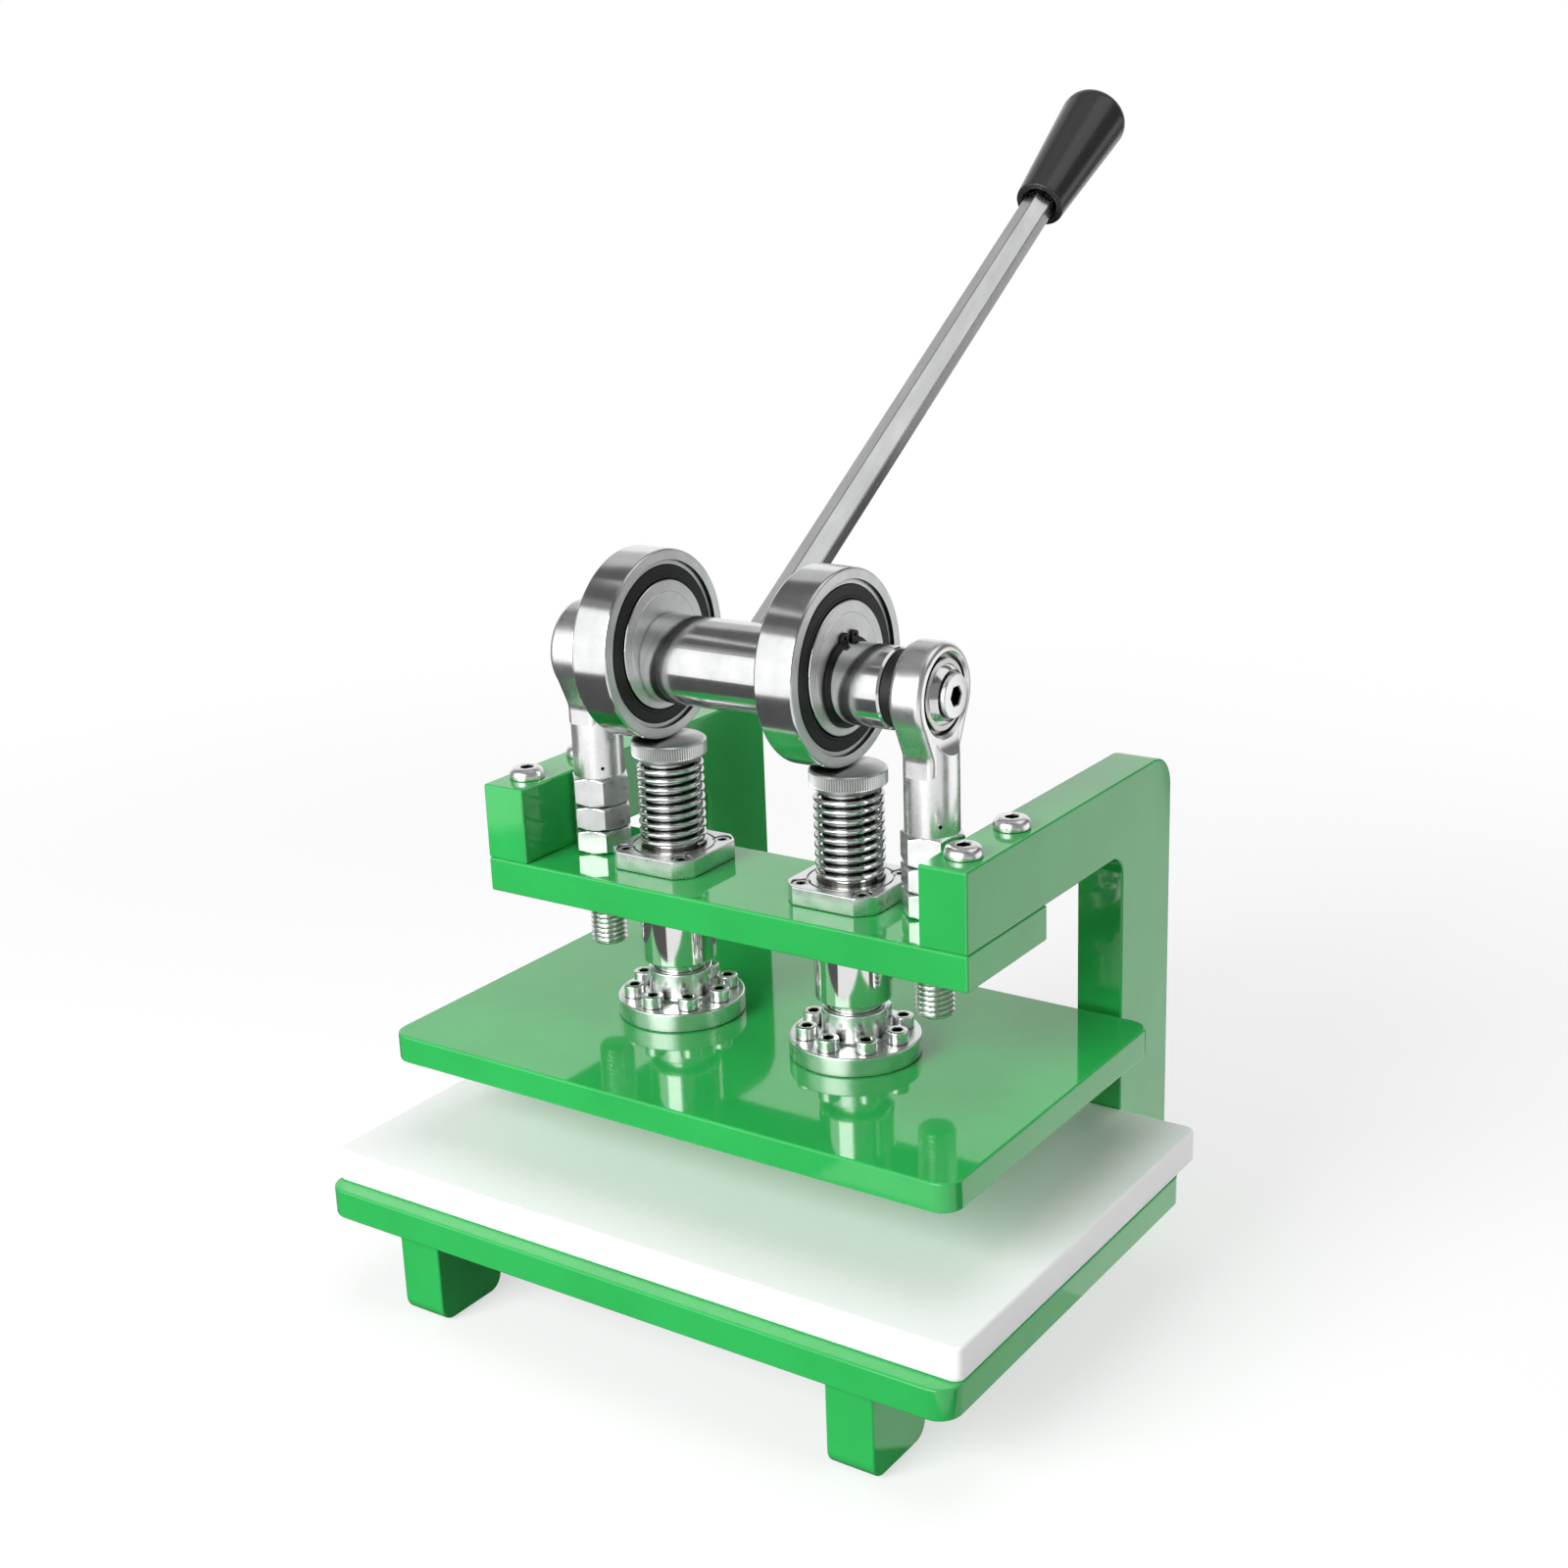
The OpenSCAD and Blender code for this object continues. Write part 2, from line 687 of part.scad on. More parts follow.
module lever_grip() {
    cone_h = grip_len - grip_end_r;
    bore_d = lever_af*hex_tall + 2*seat_gap;
    color(black) along_lever() translate([0, 0, lever_reach - grip_len]) difference() {
        union() {
            cylinder(h = cone_h, d1 = grip_d1, d2 = grip_d2);
            translate([0, 0, cone_h]) rotate_extrude() {
                square([grip_d2/2 - grip_end_r, grip_end_r]);
                intersection() {
                    translate([grip_d2/2 - grip_end_r, 0]) circle(grip_end_r);
                    square([grip_d2, grip_end_r]);
                }
            }
        }
        translate([0, 0, -1]) cylinder(h = bar_end - lever_reach + grip_len + 1 + rest_gap, d = bore_d);
        translate([0, 0, -1]) cylinder(h = 4, d = bore_d + 2);
    }
}

/* Rollers */

// A roller's own frame has its axis along Z and its middle at the origin
module at_roller(side) {
    place(roller_x(side), axis_y, roller_z) rotate([0, 90, 0]) children();
}

module race_groove() {
    rotate_extrude() translate([ball_circle_r, 0]) circle(d = bearing_ball_d + 2*ball_run_gap);
}

module inner_ring(side) {
    color(steel) at_roller(side) difference() {
        cylinder(h = roller_w, d = inner_ring_d, center = true);
        cylinder(h = roller_w + 2, d = roller_bore + 2*seat_gap, center = true);
        race_groove();
    }
}

module outer_ring(side) {
    color(steel) at_roller(side) difference() {
        cylinder(h = roller_w, d = roller_d, center = true);
        cylinder(h = roller_w + 2, d = outer_ring_bore, center = true);
        race_groove();
    }
}

module roller_seals(side) {
    seal_z = roller_w/2 - seal_recess - seal_t;
    color(black) at_roller(side) for (face = [0, 1]) mirror([0, 0, face])
        translate([0, 0, seal_z]) difference() {
            cylinder(h = seal_t, d = outer_ring_bore - 2*seat_gap);
            translate([0, 0, -1]) cylinder(h = seal_t + 2, d = inner_ring_d + 2*rest_gap);
        }
}

module ball_spots() {
    for (i = [0:bearing_balls - 1]) rotate(360*i/bearing_balls) translate([ball_circle_r, 0, 0]) children();
}

module bearing_ball_set(side) {
    color(steel) at_roller(side) ball_spots() sphere(d = bearing_ball_d);
}

module ball_cage(side) {
    color(bronze) at_roller(side) difference() {
        cylinder(h = cage_w, r = ball_circle_r + cage_t/2, center = true);
        cylinder(h = cage_w + 2, r = ball_circle_r - cage_t/2, center = true);
        ball_spots() rotate([0, 90, 0])
            cylinder(h = 4*cage_t, d = bearing_ball_d + 2*ball_run_gap, center = true);
    }
}

base_plate();
cutting_board();
side_frame(-1);  // side_frame_left
side_frame(1);  // side_frame_right
cross_beam();
beam_screws();
base_screws();
guide_bush(-1);  // guide_bush_left
guide_bush(1);  // guide_bush_right
guide_liner(-1);  // guide_liner_left
guide_liner(1);  // guide_liner_right
bush_screws(-1);  // bush_screws_left
bush_screws(1);  // bush_screws_right
return_spring(-1);  // return_spring_left
return_spring(1);  // return_spring_right
rod_end(-1);  // rod_end_left
rod_end(1);  // rod_end_right
rod_race(-1);  // rod_race_left
rod_race(1);  // rod_race_right
rod_stud(-1);  // rod_stud_left
rod_stud(1);  // rod_stud_right
beam_nut(-1);  // beam_nut_left
beam_nut(1);  // beam_nut_right
lock_nut(-1);  // lock_nut_left
lock_nut(1);  // lock_nut_right
cam_shaft();
pivot_ball(-1);  // pivot_ball_left
pivot_ball(1);  // pivot_ball_right
shaft_spacer(-1);  // shaft_spacer_left
shaft_spacer(1);  // shaft_spacer_right
shaft_end_screws();
lever_bar();
lever_grip();
inner_ring(-1);  // inner_ring_left
inner_ring(1);  // inner_ring_right
outer_ring(-1);  // outer_ring_left
outer_ring(1);  // outer_ring_right
roller_seals(-1);  // roller_seals_left
roller_seals(1);  // roller_seals_right
bearing_ball_set(-1);  // bearing_balls_left
bearing_ball_set(1);  // bearing_balls_right
ball_cage(-1);  // ball_cage_left
ball_cage(1);  // ball_cage_right
platen();
guide_post(-1);  // guide_post_left
guide_post(1);  // guide_post_right
post_cap(-1);  // post_cap_left
post_cap(1);  // post_cap_right
post_hub(-1);  // post_hub_left
post_hub(1);  // post_hub_right
hub_screws(-1);  // hub_screws_left
hub_screws(1);  // hub_screws_right
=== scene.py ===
"""Manual die cutting machine: its pieces, their finishes and a plain studio.

Laid out as an add-on and run as a script. Every length is in metres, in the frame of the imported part.
"""

import json
import math

import bmesh
import bpy
from bpy.props import FloatProperty, FloatVectorProperty, IntProperty, PointerProperty
from bpy.types import Operator, Panel, PropertyGroup
from mathutils import Matrix, Vector


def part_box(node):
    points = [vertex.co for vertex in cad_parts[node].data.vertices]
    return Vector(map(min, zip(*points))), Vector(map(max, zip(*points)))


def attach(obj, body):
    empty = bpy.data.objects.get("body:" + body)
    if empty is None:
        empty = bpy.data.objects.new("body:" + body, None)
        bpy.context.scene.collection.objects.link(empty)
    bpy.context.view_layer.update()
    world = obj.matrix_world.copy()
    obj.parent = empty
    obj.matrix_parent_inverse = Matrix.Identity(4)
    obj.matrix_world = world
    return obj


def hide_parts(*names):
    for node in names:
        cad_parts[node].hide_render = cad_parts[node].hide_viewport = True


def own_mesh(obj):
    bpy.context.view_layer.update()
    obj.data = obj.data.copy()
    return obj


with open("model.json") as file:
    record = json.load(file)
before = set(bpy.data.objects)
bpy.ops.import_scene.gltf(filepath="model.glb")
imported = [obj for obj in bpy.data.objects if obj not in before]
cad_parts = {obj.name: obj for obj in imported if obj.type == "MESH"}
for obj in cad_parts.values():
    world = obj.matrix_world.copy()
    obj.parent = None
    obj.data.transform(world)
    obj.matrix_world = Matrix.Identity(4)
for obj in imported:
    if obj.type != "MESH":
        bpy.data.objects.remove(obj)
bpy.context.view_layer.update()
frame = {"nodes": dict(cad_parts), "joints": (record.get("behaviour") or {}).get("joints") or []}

bl_info = {
    "name": "Manual Die Cutting Machine",
    "version": (1, 0, 0),
    "blender": (4, 5, 0),
    "location": "3D View > Sidebar > Die Cutter",
    "description": "Builds the pieces, finishes and studio of a manual die cutting machine",
    "category": "Add Mesh",
}

MM = 0.001
SLIP = 0.05 * MM  # clearance of a round seat, on its radius
WELD = 0.002 * MM  # points of a carved piece that lie closer become one
SIDES = {"left": -1, "right": 1}
CORNERS = [(x, y) for x in (-1, 1) for y in (-1, 1)]
SHAFT = next(Vector(j["pos_m"]) for j in frame["joints"] if j["name"] == "lever_turn")
# A piece's own z runs along X, its x along Y and its y along Z
ALONG_X = Matrix(((0, 0, 1), (1, 0, 0), (0, 1, 0))).to_4x4()
ON_SHAFT = Matrix.Translation((0, SHAFT.y, SHAFT.z)) @ ALONG_X


def middle(node):
    low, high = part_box(node)
    return (low + high) / 2


def half_width(node):
    low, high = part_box(node)
    return (high.x - low.x) / 2


def under(node):
    """Frame on the ground below a node's middle."""
    return Matrix.Translation((*middle(node).xy, 0))


def length(name, description, millimetres):
    return FloatProperty(name=name, description=description, default=millimetres * MM, min=0, precision=5,
                         subtype="DISTANCE", unit="LENGTH")


def angle(name, description, degrees):
    return FloatProperty(name=name, description=description, default=math.radians(degrees),
                         subtype="ANGLE", unit="ROTATION")


def light(name, description, default):
    return FloatProperty(name=name, description=description, default=default, min=0)


def colour(name, description, default):
    return FloatVectorProperty(name=name, description=description, default=default, size=3, min=0, max=1,
                               subtype="COLOR")


class PlateSizes(PropertyGroup):
    edge: length("Edge", "Rounding along the edges of the painted plates", 1.1)
    base_corner: length("Base corner", "Corner radius of the base plate", 11)
    platen_corner: length("Platen corner", "Corner radius of the platen", 10)
    frame_corner: length("Frame corner", "Radius at the top back corner of a side frame", 17)
    throat_corner: length("Throat corner", "Radius at the back of the throat", 10)
    foot_corner: length("Foot corner", "Radius at the bottom of a foot", 8)
    foot_depth: length("Foot depth", "Depth of a front foot", 42.5)
    rail_height: length("Rail height", "Height of the rail under the base plate", 25)
    small_corner: length("Small corner", "Radius of the corners that are barely broken", 1.2)
    board_corner: length("Board corner", "Corner radius of the cutting board", 5)
    board_edge: length("Board edge", "Rounding along the edges of the cutting board", 1.4)


class GuideSizes(PropertyGroup):
    flange_round: length("Flange round", "Circle that trims the corners of a bush flange", 58)
    flange_thickness: length("Flange thickness", "Thickness of a bush flange", 9)
    tube: length("Tube", "Diameter of a bush below its flange", 36)
    bore: length("Bore", "Bore of a bush round its liner", 30.2)
    screw_pitch: length("Screw pitch", "Pitch of the screws in a bush flange", 33)
    flange_screw: length("Flange screw", "Thread of the screws in a bush flange", 5)
    hub_thickness: length("Hub thickness", "Thickness of a hub's round flange", 9.5)
    collar: length("Collar", "Diameter of the collar on a hub", 31)
    post: length("Post", "Diameter of a guide post", 25)
    pin: length("Pin", "Diameter of the pin on a guide post, in its cap", 16)
    hub_screw_circle: length("Hub screw circle", "Circle on which the hub screws stand", 46)
    hub_screw: length("Hub screw", "Thread of the screws in a hub", 6)
    hub_screws: IntProperty(name="Hub screws", description="Screws in each hub", default=8, min=3, max=12)
    knurl: IntProperty(name="Knurl", description="Grooves round a knurled cap", default=92, min=12, max=160)


class SpringSizes(PropertyGroup):
    wire: length("Wire", "Thickness of the spring wire", 2.6)
    radius: length("Radius", "Radius of the winding at the middle of the wire", 14.9)
    turns: FloatProperty(name="Turns", description="Turns of wire in a return spring", default=9.4, min=4,
                         max=14)
    pressed: FloatProperty(name="Pressed", description="Share of its height that a spring keeps when pressed",
                           default=0.7275, min=0.1, max=1, subtype="FACTOR")


class RodEndSizes(PropertyGroup):
    eye: length("Eye", "Outside diameter of a rod end's eye", 46)
    eye_width: length("Eye width", "Width of a rod end's eye", 16.5)
    eye_edge: length("Eye edge", "Rounding along the rim of an eye", 3.4)
    race: length("Race", "Outside diameter of the race in an eye", 36)
    ball: length("Ball", "Diameter of a pivot ball", 31)
    ball_bore: length("Ball bore", "Bore of a pivot ball", 18.1)
    shank: length("Shank", "Diameter of a rod end's shank", 25)
    hexagon: length("Hexagon", "Width across the flats of the nuts", 26)
    hexagon_height: length("Hexagon height", "Height of the hexagon on a rod end", 14.5)
    hexagon_turn: angle("Hexagon turn", "Angle of a corner of the nuts", 14)
    stud: length("Stud", "Diameter of a threaded stud", 18)
    thread_pitch: length("Thread pitch", "Pitch of the thread on a stud", 2.5)
    thread_depth: length("Thread depth", "Depth of the thread on a stud", 1.3)


class CrankSizes(PropertyGroup):
    shaft: length("Shaft", "Diameter of the shaft between the rollers", 42)
    journal: length("Journal", "Diameter of the offset journals", 50)
    throw: length("Throw", "Offset of the journals from the shaft", 6)
    stub: length("Stub", "Diameter of the shaft outside the rollers", 37)
    tip: length("Tip", "Diameter of the shaft's tips", 18)
    socket: length("Socket", "Width of the socket in an end screw", 8)
    lean: angle("Lean", "Lean of the lever from upright at rest", 56.7)
    bar: length("Bar", "Width across the flats of the lever bar", 15)
    bar_flats: angle("Bar flats", "Turn of the lever bar's flats about its own length", 43)
    bar_start: length("Bar start", "Where the lever bar leaves the shaft's seat", 19)
    bar_end: length("Bar end", "Where the lever bar ends inside the grip", 404)
    reach: length("Reach", "Length of the lever from the shaft's axis", 428)
    grip: length("Grip", "Length of the grip", 84)
    grip_mouth: length("Grip mouth", "Diameter of the grip at its mouth", 26.5)
    grip_end: length("Grip end", "Diameter of the grip at its thick end", 36.5)


class RollerSizes(PropertyGroup):
    outside: length("Outside", "Outside diameter of a roller", 90)
    bore: length("Bore", "Bore of a roller", 50)
    width: length("Width", "Width of a roller", 20)
    ring: length("Ring", "Thickness of a roller's rings", 5.5)
    ball: length("Ball", "Diameter of the balls in a roller", 12.7)


class Finishes(PropertyGroup):
    paint: colour("Paint", "Green paint", (0.027, 0.425, 0.089))
    # Painted highlight: the paint turns to this paler green along its edges.
    paint_edge_highlight: colour("Paint edge", "Green paint where it is thin along edges", (0.08, 0.60, 0.17))
    board: colour("Board", "White plastic of the cutting board", (0.95, 0.953, 0.953))
    ground: colour("Ground steel", "Ground and turned steel", (0.77, 0.775, 0.78))
    plated: colour("Plated steel", "Bright plated steel", (0.88, 0.885, 0.88))
    polished: colour("Polished steel", "Polished plated steel", (0.86, 0.86, 0.85))
    wire: colour("Spring wire", "Drawn wire of the springs", (0.74, 0.745, 0.75))
    # This black is the snap rings' blackened steel, and painted shade in screw sockets and over the roller
    # seals.
    oxide: colour("Oxide", "Blackened steel of the snap rings", (0.035, 0.035, 0.037))
    # Painted shade: metal pieces darken towards this colour in their corners, sockets and gaps, where shade
    # falls.
    corner_shade: colour("Corner shade", "Oil and dust in the corners of metal pieces", (0.02, 0.02, 0.018))
    screw: colour("Screw steel", "Zinc on small screws", (0.62, 0.62, 0.60))
    bronze: colour("Bronze", "Bearing bronze", (0.20, 0.175, 0.14))
    rubber: colour("Rubber", "Black seals and spacers", (0.004, 0.004, 0.0045))
    grip: colour("Grip", "Black plastic of the grip", (0.026, 0.026, 0.027))


class StageSettings(PropertyGroup):
    camera: FloatVectorProperty(name="Camera", description="Where the camera stands", size=3,
                                default=(0.56003, -0.89925, 0.55329), subtype="TRANSLATION", unit="LENGTH")
    azimuth: angle("Azimuth", "Turn of the camera towards +X", 34.86)
    elevation: angle("Elevation", "Height of the view above level", 17.29)
    roll: angle("Roll", "Tilt of the view", -2.12)
    lens: FloatProperty(name="Lens", description="Focal length in millimetres", default=49.93, unit="CAMERA")
    key: light("Key", "Light of the front lamp on a white sheet", 1.34)
    top: light("Top", "Light of the overhead lamp on a white sheet", 0.23)
    back: light("Back", "Light of the rear lamp on a white sheet", 0.5)
    fill: light("Fill", "Light of the right lamp on a white sheet", 0.26)
    ambient: light("Ambient", "Soft light from all round", 0.22)


# Shapes

def rounded(corners, closed=True, fine=8):
    """Points through (x, y, radius) corners, each corner turned on an arc of its radius."""
    points, count = [], len(corners)
    for i, (x, y, radius) in enumerate(corners):
        spot = Vector((x, y))
        if radius == 0 or (not closed and i in (0, count - 1)):
            points.append(spot)
            continue
        back = (Vector(corners[i - 1][:2]) - spot).normalized()
        ahead = (Vector(corners[(i + 1) % count][:2]) - spot).normalized()
        half = back.angle(ahead) / 2
        centre = spot + (back + ahead).normalized() * radius / math.sin(half)
        first = spot + back * radius / math.tan(half) - centre
        last = spot + ahead * radius / math.tan(half) - centre
        sweep = math.atan2(first.cross(last), first.dot(last))
        steps = max(2, math.ceil(abs(sweep) / (math.pi / 2) * fine))
        points += [centre + Matrix.Rotation(sweep * k / steps, 2) @ first for k in range(steps + 1)]
    return points


def shrunk(outline, depth):
    """A counter-clockwise outline moved inwards."""
    moved = []
    for i, spot in enumerate(outline):
        back = (spot - outline[i - 1]).normalized()
        ahead = (outline[(i + 1) % len(outline)] - spot).normalized()
        side = Vector((-back.y - ahead.y, back.x + ahead.x))
        moved.append(spot + side * depth / max(1 + back.dot(ahead), 0.2))
    return moved


def skin(rings, loop=False):
    """Mesh through rings of points, capped at both ends, or joined from the last ring to the first."""
    bm = bmesh.new()
    rows = [[bm.verts.new(spot) for spot in ring] for ring in rings]
    for a, b in list(zip(rows, rows[1:])) + ([(rows[-1], rows[0])] if loop else []):
        count = max(len(a), len(b))
        for i in range(count):
            j = (i + 1) % count
            bm.faces.new(dict.fromkeys((a[i % len(a)], a[j % len(a)], b[j % len(b)], b[i % len(b)])))
    if not loop:
        for row in (rows[0], rows[-1]):
            if len(row) > 2:
                bm.faces.new(row)
    bmesh.ops.recalc_face_normals(bm, faces=bm.faces)
    return bm


def turned(rows, loop=False, steps=96):
    """Turned piece about its own z. A row is (radius, height), and a radius may depend on the angle."""
    rings = []
    for radius, height in rows:
        if radius == 0:
            rings.append([(0, 0, height)])
            continue
        ring = []
        for i in range(steps):
            around = math.tau * i / steps
            r = radius(around) if callable(radius) else radius
            ring.append((r * math.cos(around), r * math.sin(around), height))
        rings.append(ring)
    return skin(rings, loop)


def plate(outline, low, high, edge, fine=4):
    """Plate between two heights with rounded edges."""
    bends = [math.pi / 2 * k / fine for k in range(fine + 1)]
    rows = [(edge * (1 - math.sin(b)), low + edge * (1 - math.cos(b))) for b in bends]
    rows += [(depth, low + high - z) for depth, z in reversed(rows)]
    return skin([[(p.x, p.y, z) for p in shrunk(outline, depth)] for depth, z in rows])


def level_plate(node, corner, edge, fine=8):
    """Plate as large as a node's box, with rounded corners."""
    low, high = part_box(node)
    spots = [(low.x, low.y), (high.x, low.y), (high.x, high.y), (low.x, high.y)]
    return plate(rounded([(x, y, corner) for x, y in spots], fine=fine), low.z, high.z, edge)


def rod(radius, low, high, steps=48):
    return turned([(radius, low), (radius, high)], steps=steps)


def arc(bend, steps):
    """Angles from one end of an arc to the other."""
    return [bend * (k / steps - 1) for k in range(2 * steps + 1)]


def mirrored(rows):
    """Rows of one face of a turned piece, then those of the face on its other side."""
    return rows + [(r, -z) for r, z in reversed(rows)]


def hexed(across):
    """Radius of a hexagon with a corner at angle 0."""
    return lambda around: across / 2 / math.cos(around % (math.pi / 3) - math.pi / 6)


def placed(bm, matrix):
    bmesh.ops.transform(bm, matrix=matrix, verts=bm.verts)
    return bm


def marked(bm, test):
    """Marks the faces whose middle passes a test, which get the piece's second finish."""
    for face in bm.faces:
        face.material_index = int(test(face.calc_center_median()))
    return bm


def socket_shaded(bm, across, low, high):
    """Marks the faces of a screw's socket, within the corners of its hexagon, for a black finish that paints
    shade into the socket.
    """
    return marked(bm, lambda spot: spot.xy.length < across * 0.58 and low < spot.z < high)


def meshed(name, bm):
    mesh = bpy.data.meshes.new(name)
    bm.to_mesh(mesh)
    bm.free()
    return mesh


def shown(name, data):
    obj = bpy.data.objects.new(name, data)
    bpy.context.scene.collection.objects.link(obj)
    return obj


def together(shapes):
    """One mesh of several separate ones."""
    whole = bmesh.new()
    for bm in shapes:
        part = meshed("part", bm)
        whole.from_mesh(part)
        bpy.data.meshes.remove(part)
    return whole


def carved(body, joins=(), cuts=()):
    """A mesh with others joined to it and others cut out of it."""
    shapes = [shown("carving", meshed("carving", bm)) for bm in (body, *joins, *cuts)]
    for i, tool in enumerate(shapes[1:]):
        step = shapes[0].modifiers.new("carving", "BOOLEAN")
        step.operation = "UNION" if i < len(joins) else "DIFFERENCE"
        step.object = tool
        step.solver = "EXACT"
    done = bpy.data.meshes.new_from_object(shapes[0].evaluated_get(bpy.context.evaluated_depsgraph_get()))
    if not done.polygons:
        raise RuntimeError("a carved piece came out empty")
    bm = bmesh.new()
    bm.from_mesh(done)
    bmesh.ops.remove_doubles(bm, verts=bm.verts, dist=WELD)
    bmesh.ops.dissolve_degenerate(bm, edges=bm.edges, dist=WELD)
    for mesh in [done, *(obj.data for obj in shapes)]:
        bpy.data.meshes.remove(mesh)
    return bm


def piece(name, bm, finish, body, nodes, at=Matrix.Identity(4), sharp=32, second="black_oxide"):
    """Puts a mesh in the scene as a piece that rides on a body and stands for CAD nodes.

    Marked faces get the second finish, and edges bent by more than sharp degrees stay crisp.
    """
    mesh = meshed(name, bm)
    mesh.shade_smooth()
    mesh.set_sharp_from_angle(angle=math.radians(sharp))
    mesh.materials.append(finish_named(finish))
    if any(face.material_index for face in mesh.polygons):
        mesh.materials.append(finish_named(second))
    obj = shown(name, mesh)
    obj.matrix_world = at
    obj.modifiers.new("Even shading", "WEIGHTED_NORMAL").keep_sharp = True
    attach(obj, body)
    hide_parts(*nodes)
    return obj


# Finishes

EDGE_BEND = (0.985, 0.86)  # cosines of the bend at which an edge begins to show and shows in full
CORNER_SKY = (0.18, 0.7)  # shares of open sky at which the painted corner shade is full and gone


def add(tree, kind, inputs=None, **settings):
    """A shader node with its settings, and its inputs set or linked."""
    node = tree.nodes.new("ShaderNode" + kind)
    for key, value in settings.items():
        setattr(node, key, value)
    for key, value in (inputs or {}).items():
        if isinstance(value, bpy.types.NodeSocket):
            tree.links.new(value, node.inputs[key])
        else:
            node.inputs[key].default_value = value
    return node


def emptied(owner):
    """Node tree of a new material or world, without its first nodes."""
    owner.use_nodes = True
    owner.node_tree.nodes.clear()
    return owner.node_tree


def blank(name, **sockets):
    """Material with one shader, whose plain values are set on its own sockets."""
    material = bpy.data.materials.new(name)
    tree = emptied(material)
    shader = add(tree, "BsdfPrincipled")
    for key, value in sockets.items():
        shader.inputs[key.replace("_", " ")].default_value = value
    add(tree, "OutputMaterial", {"Surface": shader.outputs[0]})
    return material, tree, shader


def maths(tree, operation, a, b):
    return add(tree, "Math", {0: a, 1: b}, operation=operation).outputs[0]


def vectors(tree, operation, *inputs):
    """Vector maths, whose answer is a number for a length or a dot product."""
    node = add(tree, "VectorMath", dict(enumerate(inputs)), operation=operation)
    return node.outputs["Value" if operation in ("LENGTH", "DOT_PRODUCT") else "Vector"]


def spot_on(tree):
    return add(tree, "TexCoord").outputs["Object"]


def height_of(tree, way):
    return add(tree, "SeparateXYZ", {0: way}).outputs["Z"]


def stretched(tree, spot, scale):
    return vectors(tree, "MULTIPLY", spot, scale)


def spot_round(tree):
    """Distance from a turned piece's axis and height along it, so that marks run round the piece."""
    spot = spot_on(tree)
    reach = vectors(tree, "LENGTH", stretched(tree, spot, (1, 1, 0)))
    return add(tree, "CombineXYZ", {"X": reach, "Z": height_of(tree, spot)}).outputs[0]


def grain(tree, spot, scale, detail=3.0, rough=0.55):
    return add(tree, "TexNoise", {"Vector": spot, "Scale": scale, "Detail": detail,
                                  "Roughness": rough}).outputs["Fac"]


def between(tree, value, low, high, start=0.3, end=0.7):
    return add(tree, "MapRange", {"Value": value, "From Min": start, "From Max": end, "To Min": low,
                                  "To Max": high}).outputs["Result"]


def mixed(tree, share, a, b):
    """Colour from a to b. Each is a colour or a socket."""
    node = add(tree, "Mix", {0: share}, data_type="RGBA")
    for index, value in ((6, a), (7, b)):
        if isinstance(value, bpy.types.NodeSocket):
            tree.links.new(value, node.inputs[index])
        else:
            node.inputs[index].default_value = (*value, 1)
    return node.outputs[2]


def shade(tint, level):
    return tuple(min(1.0, c * level) for c in tint)


def clouded(tree, marks, tint, dark, pale):
    """A tint that drifts between two levels with the marks."""
    return mixed(tree, between(tree, marks, 0, 1), shade(tint, dark), shade(tint, pale))


def edge_wear_and_highlight(tree, base, edge_tint, radius, marks, low, high):
    """A colour that turns to another along the edges, by a share that drifts with the marks: a painted
    highlight on the paint and the metals, real wear on the board and the black parts.
    """
    soft = add(tree, "Bevel", {"Radius": radius * MM}, samples=4).outputs[0]
    bend = vectors(tree, "DOT_PRODUCT", soft, add(tree, "NewGeometry").outputs["Normal"])
    edge = between(tree, bend, 0, 1, *EDGE_BEND)
    return mixed(tree, maths(tree, "MULTIPLY", edge, between(tree, marks, low, high)), base, edge_tint)


def shaded_in_corners(tree, base, corner_shade, reach):
    """A metal's colour with painted shade: darker in its corners, sockets and gaps, the more closed in they
    are.
    """
    open_sky = add(tree, "AmbientOcclusion", {"Distance": reach * MM}, samples=6).outputs["AO"]
    return mixed(tree, between(tree, open_sky, 1, 0, *CORNER_SKY), base, corner_shade)


def finished(tree, shader, tint, roughness, height, depth, strength=0.5):
    """Joins the colour, roughness and relief of a finish to its shader. The depth is in millimetres."""
    bump = add(tree, "Bump", {"Height": height, "Distance": depth * MM, "Strength": strength})
    for name, socket in (("Base Color", tint), ("Roughness", roughness), ("Normal", bump.outputs[0])):
        tree.links.new(socket, shader.inputs[name])


def green_enamel(name, tints):
    """Thick glossy enamel: faint orange peel, slight clouding, and a painted highlight of paler green along the
    edges.
    """
    material, tree, shader = blank(name, IOR=1.52, Coat_Weight=0.35, Coat_Roughness=0.02)
    spot = spot_on(tree)
    peel = grain(tree, spot, 620, 2, 0.45)
    base = clouded(tree, grain(tree, spot, 22, 4), tints.paint, 0.93, 1.05)
    # Painted highlight: paler green along the edges.
    tint = edge_wear_and_highlight(tree, base, tints.paint_edge_highlight, 1.2, grain(tree, spot, 140, 4), 0.15, 0.75)
    finished(tree, shader, tint, between(tree, peel, 0.05, 0.09), peel, 0.02, 0.2)
    return material


def white_plastic(name, tints):
    """White plastic board: faint mottling, fine scuffs on its faces."""
    material, tree, shader = blank(name, IOR=1.5, Subsurface_Weight=0.3, Subsurface_Radius=(1, 1, 1),
                                   Subsurface_Scale=0.006)
    spot = spot_on(tree)
    scuffs = grain(tree, stretched(tree, spot, (1, 9, 1)), 260, 3, 0.6)
    base = clouded(tree, grain(tree, spot, 60, 5), tints.board, 0.985, 1)
    tint = edge_wear_and_highlight(tree, base, shade(tints.board, 0.9), 1.5, grain(tree, spot, 180, 3), 0, 0.35)
    finished(tree, shader, tint, between(tree, scuffs, 0.34, 0.52), scuffs, 0.03, 0.4)
    return material


